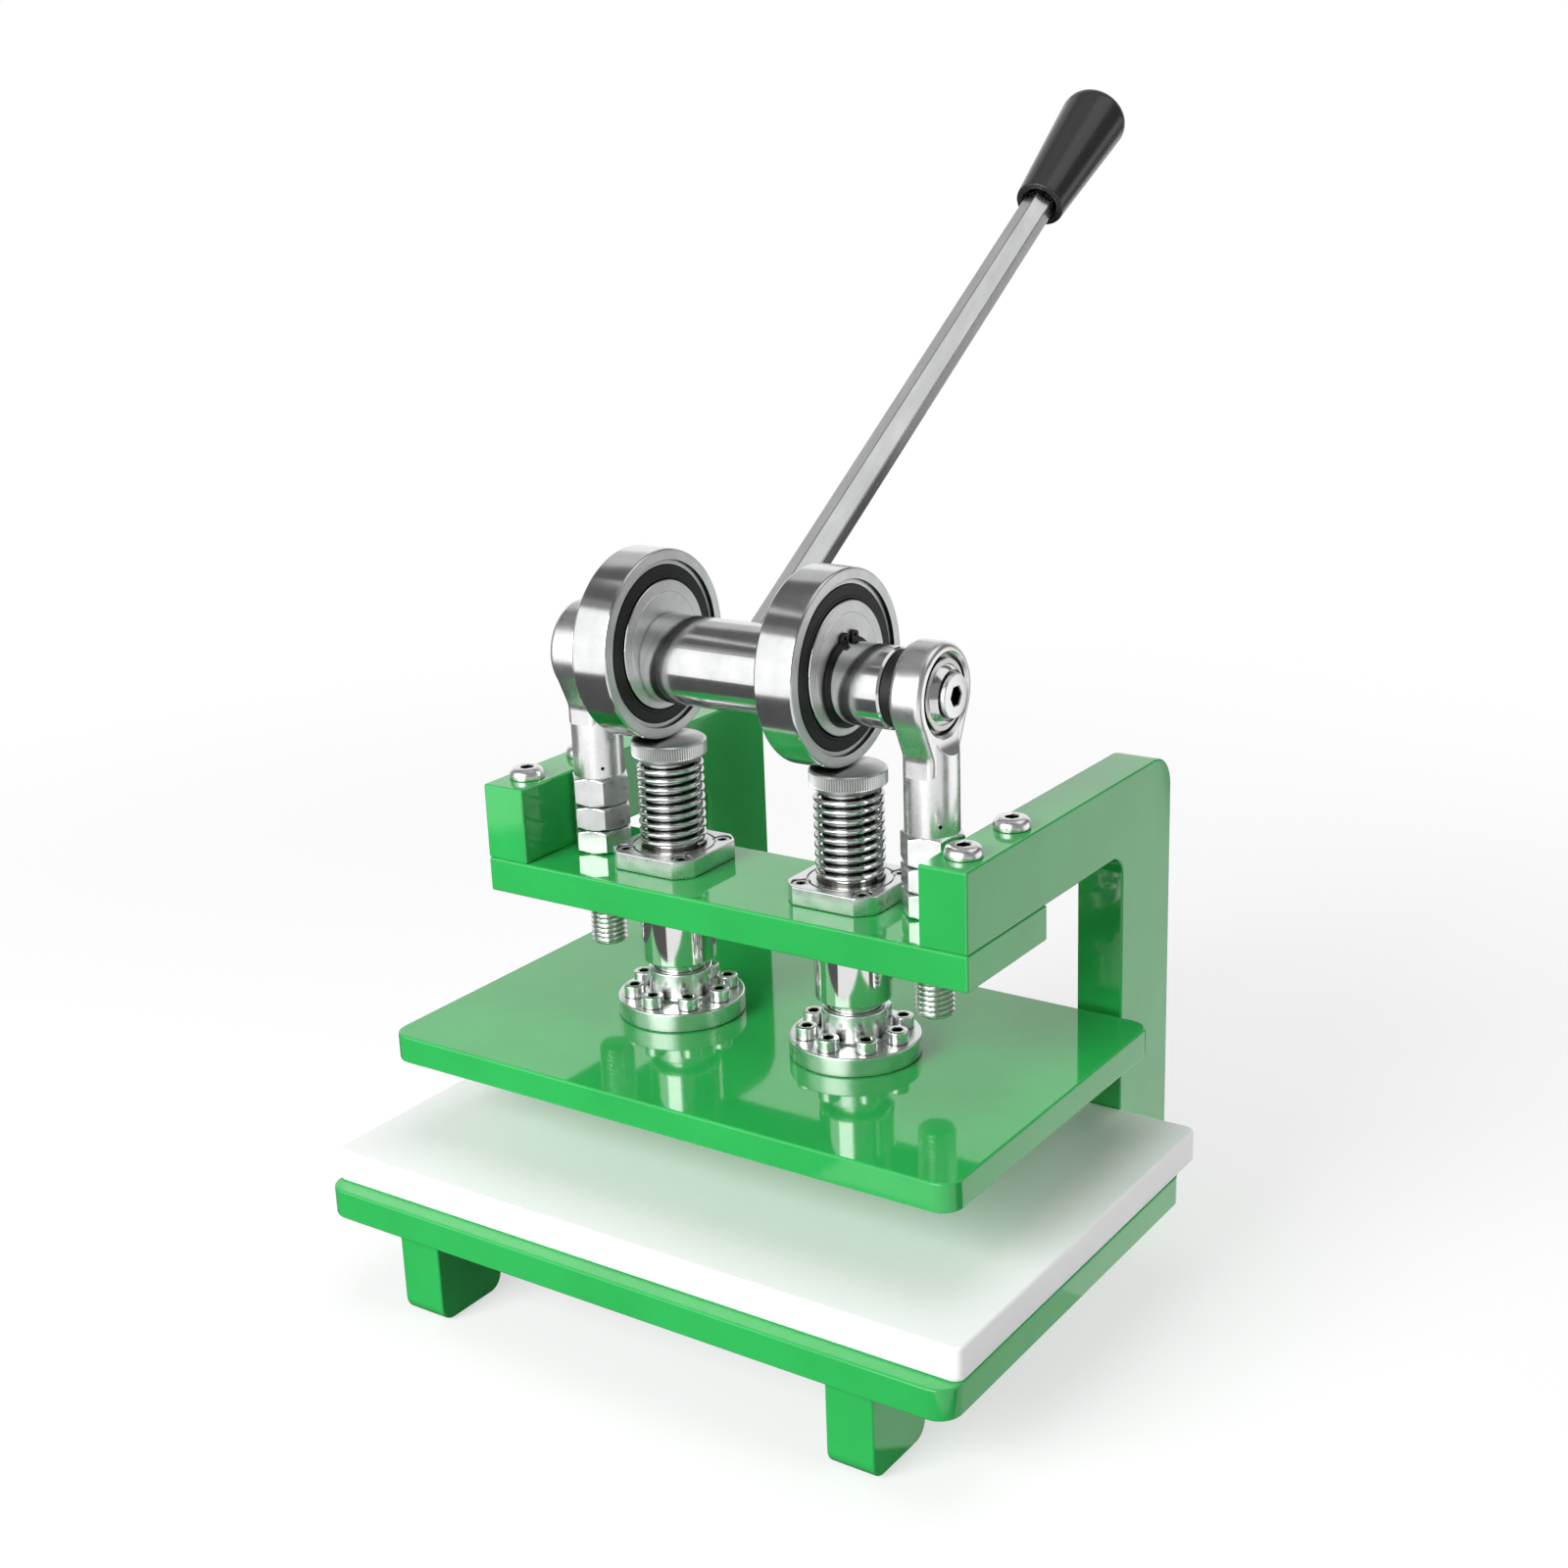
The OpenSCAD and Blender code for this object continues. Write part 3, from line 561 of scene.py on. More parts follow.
def turned_metal(name, tints, tint, smooth, rough, rings, depth, dark=0.9, dull=0):
    """Metal with the fine rings of a lathe or grinder, duller on end faces, with a painted highlight along
    edges.
    """
    material, tree, shader = blank(name, Metallic=1.0)
    tint = getattr(tints, tint)
    marks = grain(tree, spot_round(tree), rings, 3, 0.6)
    film = grain(tree, spot_on(tree), 90, 4)
    # Painted highlight: the tint turns paler along the edges.
    base = edge_wear_and_highlight(tree, clouded(tree, film, tint, dark, 1.04), shade(tint, 1.2), 0.7, film, 0.3, 0.9)
    along = height_of(tree, add(tree, "TexCoord").outputs["Normal"])
    end_face = between(tree, maths(tree, "MULTIPLY", along, along), 0, dull, 0.5, 0.9)
    roughness = maths(tree, "ADD", between(tree, marks, smooth, rough), end_face)
    # Painted shade darkens the colour in corners, sockets and gaps.
    finished(tree, shader, shaded_in_corners(tree, base, tints.corner_shade, 2.5), roughness, marks, depth)
    return material


def cast_metal(name, tints, tint, smooth, rough, lumps, depth, level=1):
    """Plated metal with a soft uneven skin and a painted highlight along its edges."""
    material, tree, shader = blank(name, Metallic=1.0)
    tint, spot = shade(getattr(tints, tint), level), spot_on(tree)
    marks = grain(tree, spot, lumps, 4)
    # Painted highlight: the tint turns paler along the edges.
    base = edge_wear_and_highlight(tree, clouded(tree, marks, tint, 0.93, 1.04), shade(tint, 1.15), 0.8, marks, 0.3, 0.9)
    # Painted shade darkens the colour in corners, sockets and gaps.
    finished(tree, shader, shaded_in_corners(tree, base, tints.corner_shade, 4), between(tree, marks, smooth, rough),
             grain(tree, spot, 1500, 2), depth)
    return material


def drawn_bar(name, tints):
    """Drawn steel bar with fine streaks along its length."""
    material, tree, shader = blank(name, Metallic=1.0)
    spot = spot_on(tree)
    streaks = grain(tree, stretched(tree, spot, (1, 1, 0.012)), 1900, 3, 0.6)
    film = grain(tree, stretched(tree, spot, (1, 1, 0.3)), 120, 4)
    base = clouded(tree, film, tints.ground, 0.68, 0.84)
    # Painted highlight: the tint turns paler along the edges.
    tint = edge_wear_and_highlight(tree, base, shade(tints.ground, 1.25), 0.8, film, 0.3, 0.9)
    finished(tree, shader, tint, between(tree, streaks, 0.15, 0.27), streaks, 0.0015, 0.4)
    return material


def oiled_bronze(name, tints):
    """Oiled bronze with turning rings and dark patches."""
    material, tree, shader = blank(name, Metallic=1.0)
    rings = grain(tree, spot_round(tree), 1800, 3)
    tint = clouded(tree, grain(tree, spot_on(tree), 160, 4), tints.bronze, 0.55, 1)
    finished(tree, shader, tint, between(tree, rings, 0.3, 0.46), rings, 0.01)
    return material


def dull_black(name, tints, tint, smooth, rough, grains, depth, fade):
    """Black rubber or plastic with a fine skin, greyer where it is handled or scuffed."""
    material, tree, shader = blank(name, IOR=1.5)
    tint, spot = getattr(tints, tint), spot_on(tree)
    marks = grain(tree, spot, grains, 3)
    base = clouded(tree, marks, tint, 0.8, 1.3)
    faded = edge_wear_and_highlight(tree, base, shade(tint, fade), 1.2, grain(tree, spot, 70, 4), 0, 1)
    finished(tree, shader, faded, between(tree, marks, smooth, rough), marks, depth)
    return material


# Each finish with its maker and what the maker is told
FINISHES = {
    "green_enamel": (green_enamel, {}),
    "white_plastic": (white_plastic, {}),
    "drawn_bar": (drawn_bar, {}),
    "oiled_bronze": (oiled_bronze, {}),
    "turned_steel": (turned_metal, dict(tint="ground", smooth=0.1, rough=0.19, rings=2600, depth=0.0015,
                                        dull=0.34)),
    "polished_steel": (turned_metal, dict(tint="polished", smooth=0.05, rough=0.11, rings=1500, depth=0.001,
                                          dark=0.95)),
    "bright_zinc": (cast_metal, dict(tint="plated", smooth=0.25, rough=0.33, lumps=120, depth=0.0005)),
    "screw_zinc": (cast_metal, dict(tint="screw", smooth=0.2, rough=0.32, lumps=500, depth=0.002)),
    "spring_wire": (cast_metal, dict(tint="wire", smooth=0.1, rough=0.18, lumps=420, depth=0.001)),
    "knurled_zinc": (cast_metal, dict(tint="plated", level=0.82, smooth=0.3, rough=0.42, lumps=500,
                                      depth=0.003)),
    # Blackened steel of the snap rings, and painted shade in screw sockets and over the roller seals.
    "black_oxide": (cast_metal, dict(tint="oxide", smooth=0.32, rough=0.5, lumps=600, depth=0.004)),
    "black_rubber": (dull_black, dict(tint="rubber", smooth=0.42, rough=0.6, grains=900, depth=0.03, fade=3)),
    "black_plastic": (dull_black, dict(tint="grip", smooth=0.2, rough=0.3, grains=1300, depth=0.01, fade=2.2)),
}


def finish_named(name):
    maker, values = FINISHES[name]
    return bpy.data.materials.get(name) or maker(name, bpy.context.scene.die_finishes, **values)


# Pieces

class DIECUTTER_OT_painted_plates(Operator):
    """Base plate, side frames, cross beam and platen, all painted green"""
    bl_idname = "diecutter.painted_plates"
    bl_label = "Painted Plates"

    def execute(self, context):
        sizes, rods, guides = context.scene.die_plates, context.scene.die_rod_ends, context.scene.die_guides
        self.painted("base_plate", level_plate("base_plate", sizes.base_corner, sizes.edge))
        self.painted("platen", level_plate("platen", sizes.platen_corner, sizes.edge), "press")
        low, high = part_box("cross_beam")
        holes = [placed(rod(bore / 2 + SLIP, low.z - MM, high.z + MM, 96), under(f"{node}_{side}"))
                 for side in SIDES for node, bore in (("guide_post", guides.tube), ("rod_stud", rods.stud))]
        beam = level_plate("cross_beam", sizes.small_corner, sizes.edge, 4)
        self.painted("cross_beam", carved(beam, cuts=holes))
        for side in SIDES:
            self.painted(f"side_frame_{side}", self.side_frame(side, sizes), at=ALONG_X)
        return {"FINISHED"}

    def painted(self, node, bm, body="frame", at=Matrix.Identity(4)):
        piece(f"green_{node}", bm, "green_enamel", body, [node], at)

    def side_frame(self, side, sizes):
        low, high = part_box(f"side_frame_{side}")
        beam_low, beam_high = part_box("cross_beam")
        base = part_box("base_plate")[0].z
        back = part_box("cutting_board")[1].y + 0.5 * MM
        rail, foot, small = base - sizes.rail_height, low.y + sizes.foot_depth, sizes.small_corner
        outline = rounded([
            (low.y, low.z, sizes.foot_corner), (foot, low.z, sizes.foot_corner), (foot, rail, small),
            (back, rail, small), (back, low.z, sizes.foot_corner), (high.y, low.z, sizes.foot_corner),
            (high.y, high.z, sizes.frame_corner), (beam_low.y, high.z, small),
            (beam_low.y, beam_high.z, small), (back, beam_high.z, sizes.throat_corner),
            (back, base, sizes.throat_corner), (low.y, base, small)])
        return plate(outline, low.x, high.x, sizes.edge)


class DIECUTTER_OT_cutting_board(Operator):
    """White plastic board on the base plate"""
    bl_idname = "diecutter.cutting_board"
    bl_label = "Cutting Board"

    def execute(self, context):
        sizes = context.scene.die_plates
        piece("white_cutting_board", level_plate("cutting_board", sizes.board_corner, sizes.board_edge),
              "white_plastic", "frame", ["cutting_board"])
        return {"FINISHED"}


class DIECUTTER_OT_guides(Operator):
    """Flanged bushes, guide posts, knurled caps and round hubs"""
    bl_idname = "diecutter.guides"
    bl_label = "Guides"

    def execute(self, context):
        for side in SIDES:
            for make in (self.bush, self.post, self.cap, self.hub):
                make(side, context.scene.die_guides, under(f"guide_post_{side}"))
        return {"FINISHED"}

    def bush(self, side, sizes, at):
        low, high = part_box(f"guide_bush_{side}")
        end, top, foot = low.z, high.z, high.z - sizes.flange_thickness
        wall, bore, pitch = sizes.tube / 2, sizes.bore / 2, sizes.screw_pitch / 2
        # Square flange, its corners trimmed by a circle
        reach, outline = sizes.flange_round / 2, []
        start = math.acos(half_width(f"guide_bush_{side}") / reach)
        for quarter in range(4):
            for k in range(9):
                around = quarter * math.pi / 2 + start + (math.pi / 2 - 2 * start) * k / 8
                outline.append(Vector((reach * math.cos(around), reach * math.sin(around))))
        tube = turned(rounded([(0, end, 0), (wall, end, MM), (wall, foot + MM, 0), (0, foot + MM, 0)],
                              closed=False, fine=3))
        hole = turned([(0, end - MM), (bore + MM, end - MM), (bore, end + MM), (bore, top - 0.8 * MM),
                       (bore + 2 * MM, top + 1.2 * MM), (0, top + 1.2 * MM)])
        groove = turned([(19.4 * MM, top - 0.8 * MM), (20.2 * MM, top - 0.8 * MM), (20.6 * MM, top + MM),
                         (19.0 * MM, top + MM)], loop=True)
        sink = [(0, foot + 3.5 * MM), (4.55 * MM, foot + 3.5 * MM), (4.55 * MM, top - 0.35 * MM),
                (5.2 * MM, top + 0.3 * MM), (5.2 * MM, top + MM), (0, top + MM)]
        sinks = [placed(turned(sink, steps=48), Matrix.Translation((x * pitch, y * pitch, 0)))
                 for x, y in CORNERS]
        bm = carved(plate(outline, foot, top, 0.6 * MM), [tube], [hole, groove, *sinks])
        # The flange is left satin, the tube is polished
        piece(f"flanged_bush_{side}", marked(bm, lambda spot: spot.z > foot - 0.1 * MM), "polished_steel",
              "frame", [f"guide_bush_{side}"], at, second="bright_zinc")

    def post(self, side, sizes, at):
        low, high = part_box(f"guide_post_{side}")
        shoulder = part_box(f"post_cap_{side}")[0].z
        reach, pin = sizes.post / 2, sizes.pin / 2
        rows = rounded([(0, low.z, 0), (reach, low.z, 0.4 * MM), (reach, shoulder, 0.5 * MM),
                        (pin, shoulder, 0), (pin, high.z, 0.6 * MM), (0, high.z, 0)], closed=False, fine=3)
        piece(f"ground_post_{side}", turned(rows), "turned_steel", "press", [f"guide_post_{side}"],
              at)

    def cap(self, side, sizes, at):
        low, high = (corner.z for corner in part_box(f"post_cap_{side}"))
        reach, teeth, hole = half_width(f"post_cap_{side}"), sizes.knurl, sizes.pin / 2 + 0.1 * MM

        def knurled(depth):
            return lambda around: reach - depth * abs(2 * (around * teeth / math.tau % 1) - 1)

        rows = [(0, high - 2.5 * MM), (hole, high - 2.5 * MM), (hole, low), (reach - 3.2 * MM, low),
                (reach - 0.8 * MM, low + 2.4 * MM), (knurled(0.1 * MM), low + 2.9 * MM),
                (knurled(0.75 * MM), low + 3.3 * MM), (knurled(0.75 * MM), high - 1.4 * MM),
                (knurled(0.1 * MM), high - 0.95 * MM), (reach - 0.5 * MM, high - 0.45 * MM),
                (reach - 1.2 * MM, high), (0, high)]
        piece(f"knurled_cap_{side}", turned(rows, steps=4 * teeth), "knurled_zinc", "press",
              [f"post_cap_{side}"], at, sharp=40)

    def hub(self, side, sizes, at):
        low, high = (corner.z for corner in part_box(f"post_hub_{side}"))
        reach, neck, top = half_width(f"post_hub_{side}"), sizes.collar / 2, low + sizes.hub_thickness
        bore, step = sizes.post / 2 + SLIP, 0.5 * MM
        rows = rounded([(bore, low, 0), (reach - step, low, 0.2 * MM), (reach - step, low + step, 0),
                        (reach, low + step, 0.2 * MM), (reach, top, 0.8 * MM), (neck, top, 1.6 * MM),
                        (neck, high, 0.9 * MM), (bore, high, 0.4 * MM)], fine=4)
        piece(f"round_hub_{side}", turned(rows, loop=True), "bright_zinc", "press", [f"post_hub_{side}"],
              at)


class DIECUTTER_OT_return_springs(Operator):
    """Wound springs that lift the platen"""
    bl_idname = "diecutter.return_springs"
    bl_label = "Return Springs"

    def execute(self, context):
        sizes = context.scene.die_springs
        for side in SIDES:
            low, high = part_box(f"return_spring_{side}")
            obj = piece(f"wound_spring_{side}", self.winding(sizes, low.z, high.z), "spring_wire", "frame",
                        [f"return_spring_{side}"], under(f"guide_post_{side}"))
            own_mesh(obj)
        return {"FINISHED"}

    def winding(self, sizes, low, high):
        """Tube along the winding, whose ends are thinned and whose first and last turns lie close."""
        steps, sides, wire, flat = round(sizes.turns * 40), 14, sizes.wire / 2, 0.9
        rise = high - low - 2 * wire
        close = flat * 2 * wire / rise * 1.12
        rings = []
        for i in range(steps + 1):
            turn = sizes.turns * i / steps
            ends = min(turn, sizes.turns - turn)
            if ends < flat:
                share = close * ends / flat
                share = share if turn < sizes.turns / 2 else 1 - share
            else:
                share = close + (1 - 2 * close) * (turn - flat) / (sizes.turns - 2 * flat)
            height, thin = low + wire + rise * share, wire * min(1, 0.55 + 4 * ends)
            out = Vector((math.cos(math.tau * turn), math.sin(math.tau * turn), 0))
            rings.append([out * (sizes.radius + thin * math.cos(math.tau * k / sides))
                          + Vector((0, 0, height + thin * math.sin(math.tau * k / sides)))
                          for k in range(sides)])
        return skin(rings)


class DIECUTTER_OT_rod_ends(Operator):
    """Rod ends with their races and balls, threaded studs and nuts"""
    bl_idname = "diecutter.rod_ends"
    bl_label = "Rod Ends"

    def execute(self, context):
        sizes = context.scene.die_rod_ends
        for side in SIDES:
            spot = middle(f"rod_stud_{side}")
            at_eye = Matrix.Translation((spot.x, spot.y, SHAFT.z))
            upright = under(f"rod_stud_{side}") @ Matrix.Rotation(sizes.hexagon_turn, 4, "Z")
            self.rod_end(side, sizes, at_eye)
            self.race(side, sizes, at_eye @ ALONG_X)
            self.ball(side, sizes, at_eye @ ALONG_X)
            self.stud(side, sizes, upright)
            for name, node in (("lower_nut", "beam_nut"), ("upper_nut", "lock_nut")):
                low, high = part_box(f"{node}_{side}")
                bm = carved(self.hexagon(sizes.hexagon, low.z, high.z),
                            cuts=[rod(sizes.stud / 2 + SLIP, low.z - MM, high.z + MM)])
                piece(f"{name}_{side}", bm, "bright_zinc", "frame", [f"{node}_{side}"], upright)
        return {"FINISHED"}

    def hexagon(self, across, low, high):
        """Hexagonal block with its corners turned off at both ends, at 30 degrees."""
        six, slope = hexed(across), 1.732

        def trimmed(reach):
            return lambda around: min(six(around), reach)

        rows = [(trimmed(across * 0.48 + h * slope), low + h) for h in (k * 0.35 * MM for k in range(6))]
        return turned(rows + [(radius, low + high - z) for radius, z in reversed(rows)])

    def rod_end(self, side, sizes, at):
        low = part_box(f"rod_end_{side}")[0].z - SHAFT.z
        eye, half, shank, bore = sizes.eye / 2, sizes.eye_width / 2, sizes.shank / 2, sizes.race / 2
        foot = low + sizes.hexagon_height
        # Eye and neck in one outline, seen along X
        outline = [Vector((eye * math.sin(a), -eye * math.cos(a)))
                   for a in (math.radians(56 + 248 * k / 72) for k in range(73))]
        waist, end, bend = -27 * MM, -36 * MM, 9 * MM
        neck = rounded([(*outline[-1], 0), (-shank, waist, bend), (-shank, end, 0), (shank, end, 0),
                        (shank, waist, bend), (*outline[0], 0)], closed=False)
        head = plate(outline + neck[1:-1], -half, half, sizes.eye_edge, 5)
        # Round shank with a hollow run-out towards the eye on both faces
        start, hollow, steps, rings = -29 * MM, 12 * MM, 96, []
        spots = [math.tau * i / steps for i in range(steps)]
        for z in [foot - MM, foot, *(start + k * 0.5 * MM for k in range(33))]:
            width = shank
            if z > start:
                drop = max(0, start + hollow - z)
                width = min(shank, half + hollow - math.sqrt(max(0, hollow ** 2 - drop ** 2)))
            rings.append([(max(-width, min(width, shank * math.cos(a))), shank * math.sin(a), z)
                          for a in spots])
        six = placed(self.hexagon(sizes.hexagon, low, foot), Matrix.Rotation(sizes.hexagon_turn, 4, "Z"))
        mouth = [(0, -half - MM), (bore + 2.2 * MM, -half - MM), (bore, -half + 1.2 * MM),
                 (bore, half - 1.2 * MM), (bore + 2.2 * MM, half + MM), (0, half + MM)]
        stud_hole = rod(sizes.stud / 2 + SLIP, low - MM, low + 29 * MM)
        peep = (Matrix.Translation((0, 0, foot + 5 * MM)) @ Matrix.Rotation(math.radians(-43), 4, "Z")
                @ Matrix.Rotation(math.pi / 2, 4, "Y"))
        pin_hole = placed(rod(0.9 * MM, shank - 3 * MM, shank + MM, 24), peep)
        bm = carved(placed(head, ALONG_X), [skin(rings), six],
                    [placed(turned(mouth), ALONG_X), stud_hole, pin_hole])
        piece(f"forged_rod_end_{side}", bm, "bright_zinc", "frame", [f"rod_end_{side}"], at,
              sharp=38)

    def race(self, side, sizes, at):
        half, hollow, reach = half_width(f"rod_race_{side}"), sizes.ball / 2 + SLIP, sizes.race / 2 - SLIP
        bend = math.asin(half / hollow)
        # A groove round each face, as a pressed-in race has
        groove, floor = reach - 1.9 * MM, half - 2.6 * MM
        face = [(hollow * math.cos(bend) + 0.6 * MM, half), (reach - 2.3 * MM, half), (groove, half - 0.4 * MM),
                (groove, floor), (reach, floor)]
        rows = [(hollow * math.cos(a), hollow * math.sin(a)) for a in arc(bend, 8)] + mirrored(face)
        piece(f"lined_race_{side}", turned(rows, loop=True), "screw_zinc", "frame", [f"rod_race_{side}"],
              at)

    def ball(self, side, sizes, at):
        half, ball, bore = half_width(f"pivot_ball_{side}"), sizes.ball / 2, sizes.ball_bore / 2
        floor = half - 0.9 * MM
        face = [(11.4 * MM, half), (11.2 * MM, floor), (10.3 * MM, floor), (10.2 * MM, half),
                (bore + 0.6 * MM, half), (bore, half - 0.6 * MM)]
        rows = [(ball * math.cos(a), ball * math.sin(a)) for a in arc(math.asin(half / ball), 12)]
        piece(f"swivel_ball_{side}", turned(rows + mirrored(face), loop=True), "turned_steel", "crank",
              [f"pivot_ball_{side}"], at)

    def stud(self, side, sizes, at):
        low, high = (corner.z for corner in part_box(f"rod_stud_{side}"))
        reach, deep, step = sizes.stud / 2, sizes.thread_depth, sizes.thread_pitch / 8

        def thread(z):
            fade = min(1, (z - low) / (1.4 * MM))
            return lambda around: min(
                reach - deep * abs(2 * ((z / sizes.thread_pitch - around / math.tau) % 1) - 1),
                reach - deep * 1.15 * (1 - fade))

        count = round((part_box("cross_beam")[0].z - low + MM) / step)
        rows = [(0, low)] + [(thread(low + k * step), low + k * step) for k in range(count + 1)]
        plain = reach - 0.2 * MM
        rows += [(plain, rows[-1][1] + 0.3 * MM), (plain, high), (0, high)]
        piece(f"threaded_stud_{side}", turned(rows, steps=64), "bright_zinc", "frame", [f"rod_stud_{side}"],
              at, sharp=50)


class DIECUTTER_OT_crank(Operator):
    """Shaft with its offset journals, black spacers, snap rings and end screws"""
    bl_idname = "diecutter.crank"
    bl_label = "Crank"

    def execute(self, context):
        sizes, rollers = context.scene.die_crank, context.scene.die_rollers
        self.shaft(sizes, rollers)
        for side, sign in SIDES.items():
            low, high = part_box(f"shaft_spacer_{side}")
            reach, bore, edge = (high.z - low.z) / 2, sizes.tip / 2 + SLIP, 0.5 * MM
            rows = rounded([(bore, low.x, 0), (reach, low.x, edge), (reach, high.x, edge), (bore, high.x, 0)],
                           fine=3)
            piece(f"black_spacer_{side}", turned(rows, loop=True), "black_rubber", "crank",
                  [f"shaft_spacer_{side}"], ON_SHAFT)
            x = middle(f"inner_ring_{side}").x + sign * rollers.width / 2
            low, high = sorted((x + sign * 0.1 * MM, x + sign * 1.7 * MM))
            piece(f"snap_ring_{side}", self.snap_ring(sizes.stub / 2, low, high), "black_oxide", "crank", [],
                  ON_SHAFT)
        seat = Matrix.Translation((0, 0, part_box("pivot_ball_right")[1].x))
        screws = [placed(self.end_screw(sizes.socket), Matrix.Rotation(turn, 4, "Y") @ seat)
                  for turn in (math.pi, 0)]
        piece("low_end_screws", together(screws), "bright_zinc", "crank", ["shaft_end_screws"],
              ON_SHAFT)
        return {"FINISHED"}

    def snap_ring(self, stub, low, high):
        """Open ring with two eyed ends, sprung on the stub against the journal."""
        inner, outer, ends = stub - 0.3 * MM, stub + 2.2 * MM, stub + 4.8 * MM
        gap, lug, root = math.radians(5), math.radians(17.5), math.radians(19.25)

        def spot(radius, turn, corner=0):
            return radius * math.sin(turn), radius * math.cos(turn), corner

        lugs = [(ends, gap, 1.2 * MM), (ends, lug, 2 * MM), (outer, root, 0.8 * MM)]
        corners = [spot(radius, -turn, corner) for radius, turn, corner in lugs]
        corners += [spot(outer, -root - (math.tau - 2 * root) * k / 60) for k in range(1, 60)]
        corners += [spot(*corner) for corner in reversed(lugs)]
        corners += [spot(inner, gap + (math.tau - 2 * gap) * k / 72) for k in range(73)]
        eye = (inner + ends) / 2 + 0.3 * MM
        holes = [placed(rod(0.9 * MM, low - MM, high + MM, 24), Matrix.Translation(spot(eye, turn)))
                 for turn in (-(gap + lug) / 2, (gap + lug) / 2)]
        return carved(plate(rounded(corners), low, high, 0.25 * MM, 2), cuts=holes)

    def end_screw(self, socket):
        """Low round head with a hexagon socket, from the ball's face outwards."""
        six, shank, seat, rim, mouth = hexed(socket), 5 * MM, 0.05 * MM, 10.07 * MM, 2.1 * MM
        rows = [(0, -20 * MM), (shank, -20 * MM), (shank, seat), (9.9 * MM, seat), (rim, 0.25 * MM),
                (rim, 1.7 * MM), (9.8 * MM, 2.2 * MM), (9.3 * MM, 2.5 * MM),
                (lambda a: six(a) + 0.5 * MM, 2.5 * MM), (six, mouth), (six, -3 * MM), (0, -4.5 * MM)]
        return socket_shaded(turned(rows, steps=72), socket, -5 * MM, mouth)

    def shaft(self, sizes, rollers):
        low, high = (corner.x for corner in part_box("cam_shaft"))
        width, half, lap = rollers.width, rollers.width / 2, 2 * MM
        left, right = middle("inner_ring_left").x, middle("inner_ring_right").x
        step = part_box("shaft_spacer_right")[0].x

        def bar(diameter, start, end, chamfer):
            r = diameter / 2
            return turned([(0, start), (r - chamfer, start), (r, start + chamfer), (r, end - chamfer),
                           (r - chamfer, end), (0, end)])

        body = bar(sizes.shaft, left + half - lap, right - half + lap, 0.05 * MM)
        # Turned by part of a facet, so that no edge of a journal meets a corner of the stubs
        offset = Matrix.Translation((0, sizes.throw, 0)) @ Matrix.Rotation(math.radians(1), 4, "Z")
        joins = [placed(bar(sizes.journal, x - half, x + half, 0.1 * MM), offset) for x in (left, right)]
        joins += [bar(sizes.stub, -step, left + half - width + lap, 0.9 * MM),
                  bar(sizes.stub, right - half + width - lap, step, 0.9 * MM),
                  bar(sizes.tip, low, -step + lap, 0.8 * MM), bar(sizes.tip, step - lap, high, 0.8 * MM)]
        # Round seat for the lever bar, and a threaded hole in each end
        seat = placed(rod(10.2 * MM, sizes.bar_start, sizes.bar_start + 20 * MM, 64),
                      ON_SHAFT.inverted() @ lever_place(sizes))
        ends = [placed(rod(5.1 * MM, high - 22 * MM, high + MM), Matrix.Rotation(turn, 4, "Y"))
                for turn in (0, math.pi)]
        piece("turned_cam_shaft", carved(body, joins, [seat, *ends]), "turned_steel", "crank", ["cam_shaft"],
              ON_SHAFT)


def lever_place(sizes):
    """Frame of the lever, with z along the bar from the shaft's axis."""
    x = middle("lever_bar").x
    return Matrix.Translation((x, SHAFT.y, SHAFT.z)) @ Matrix.Rotation(-sizes.lean, 4, "X")


class DIECUTTER_OT_lever(Operator):
    """Hexagonal lever bar and its black grip"""
    bl_idname = "diecutter.lever"
    bl_label = "Lever"

    def execute(self, context):
        sizes = context.scene.die_crank
        at = lever_place(sizes)
        tall = sizes.bar / 2 / math.cos(math.pi / 6)
        turns = [sizes.bar_flats + k * math.pi / 3 for k in range(6)]
        spots = rounded([(tall * math.cos(a), tall * math.sin(a), 0.9 * MM) for a in turns], fine=6)
        piece("hex_lever_bar", plate(spots, sizes.bar_start + SLIP, sizes.bar_end, 0.4 * MM), "drawn_bar",
              "crank", ["lever_bar"], at)
        start, end, floor = sizes.reach - sizes.grip, sizes.reach, sizes.bar_end + 0.3 * MM
        mouth, thick, bore, lip = sizes.grip_mouth / 2, sizes.grip_end / 2, tall + 0.07 * MM, 3 * MM
        rows = rounded([(0, floor, 0), (bore, floor, 0), (bore, start + lip, 0),
                        (bore + MM, start + lip, 0.3 * MM), (bore + MM, start, 0.9 * MM),
                        (mouth, start, 1.2 * MM), (thick, end - 9 * MM, 2 * MM),
                        (thick - 0.6 * MM, end, 8 * MM), (0, end - 0.5 * MM, 0)], closed=False, fine=10)
        piece("black_lever_grip", turned(rows, steps=128), "black_plastic", "crank", ["lever_grip"],
              at)
        return {"FINISHED"}


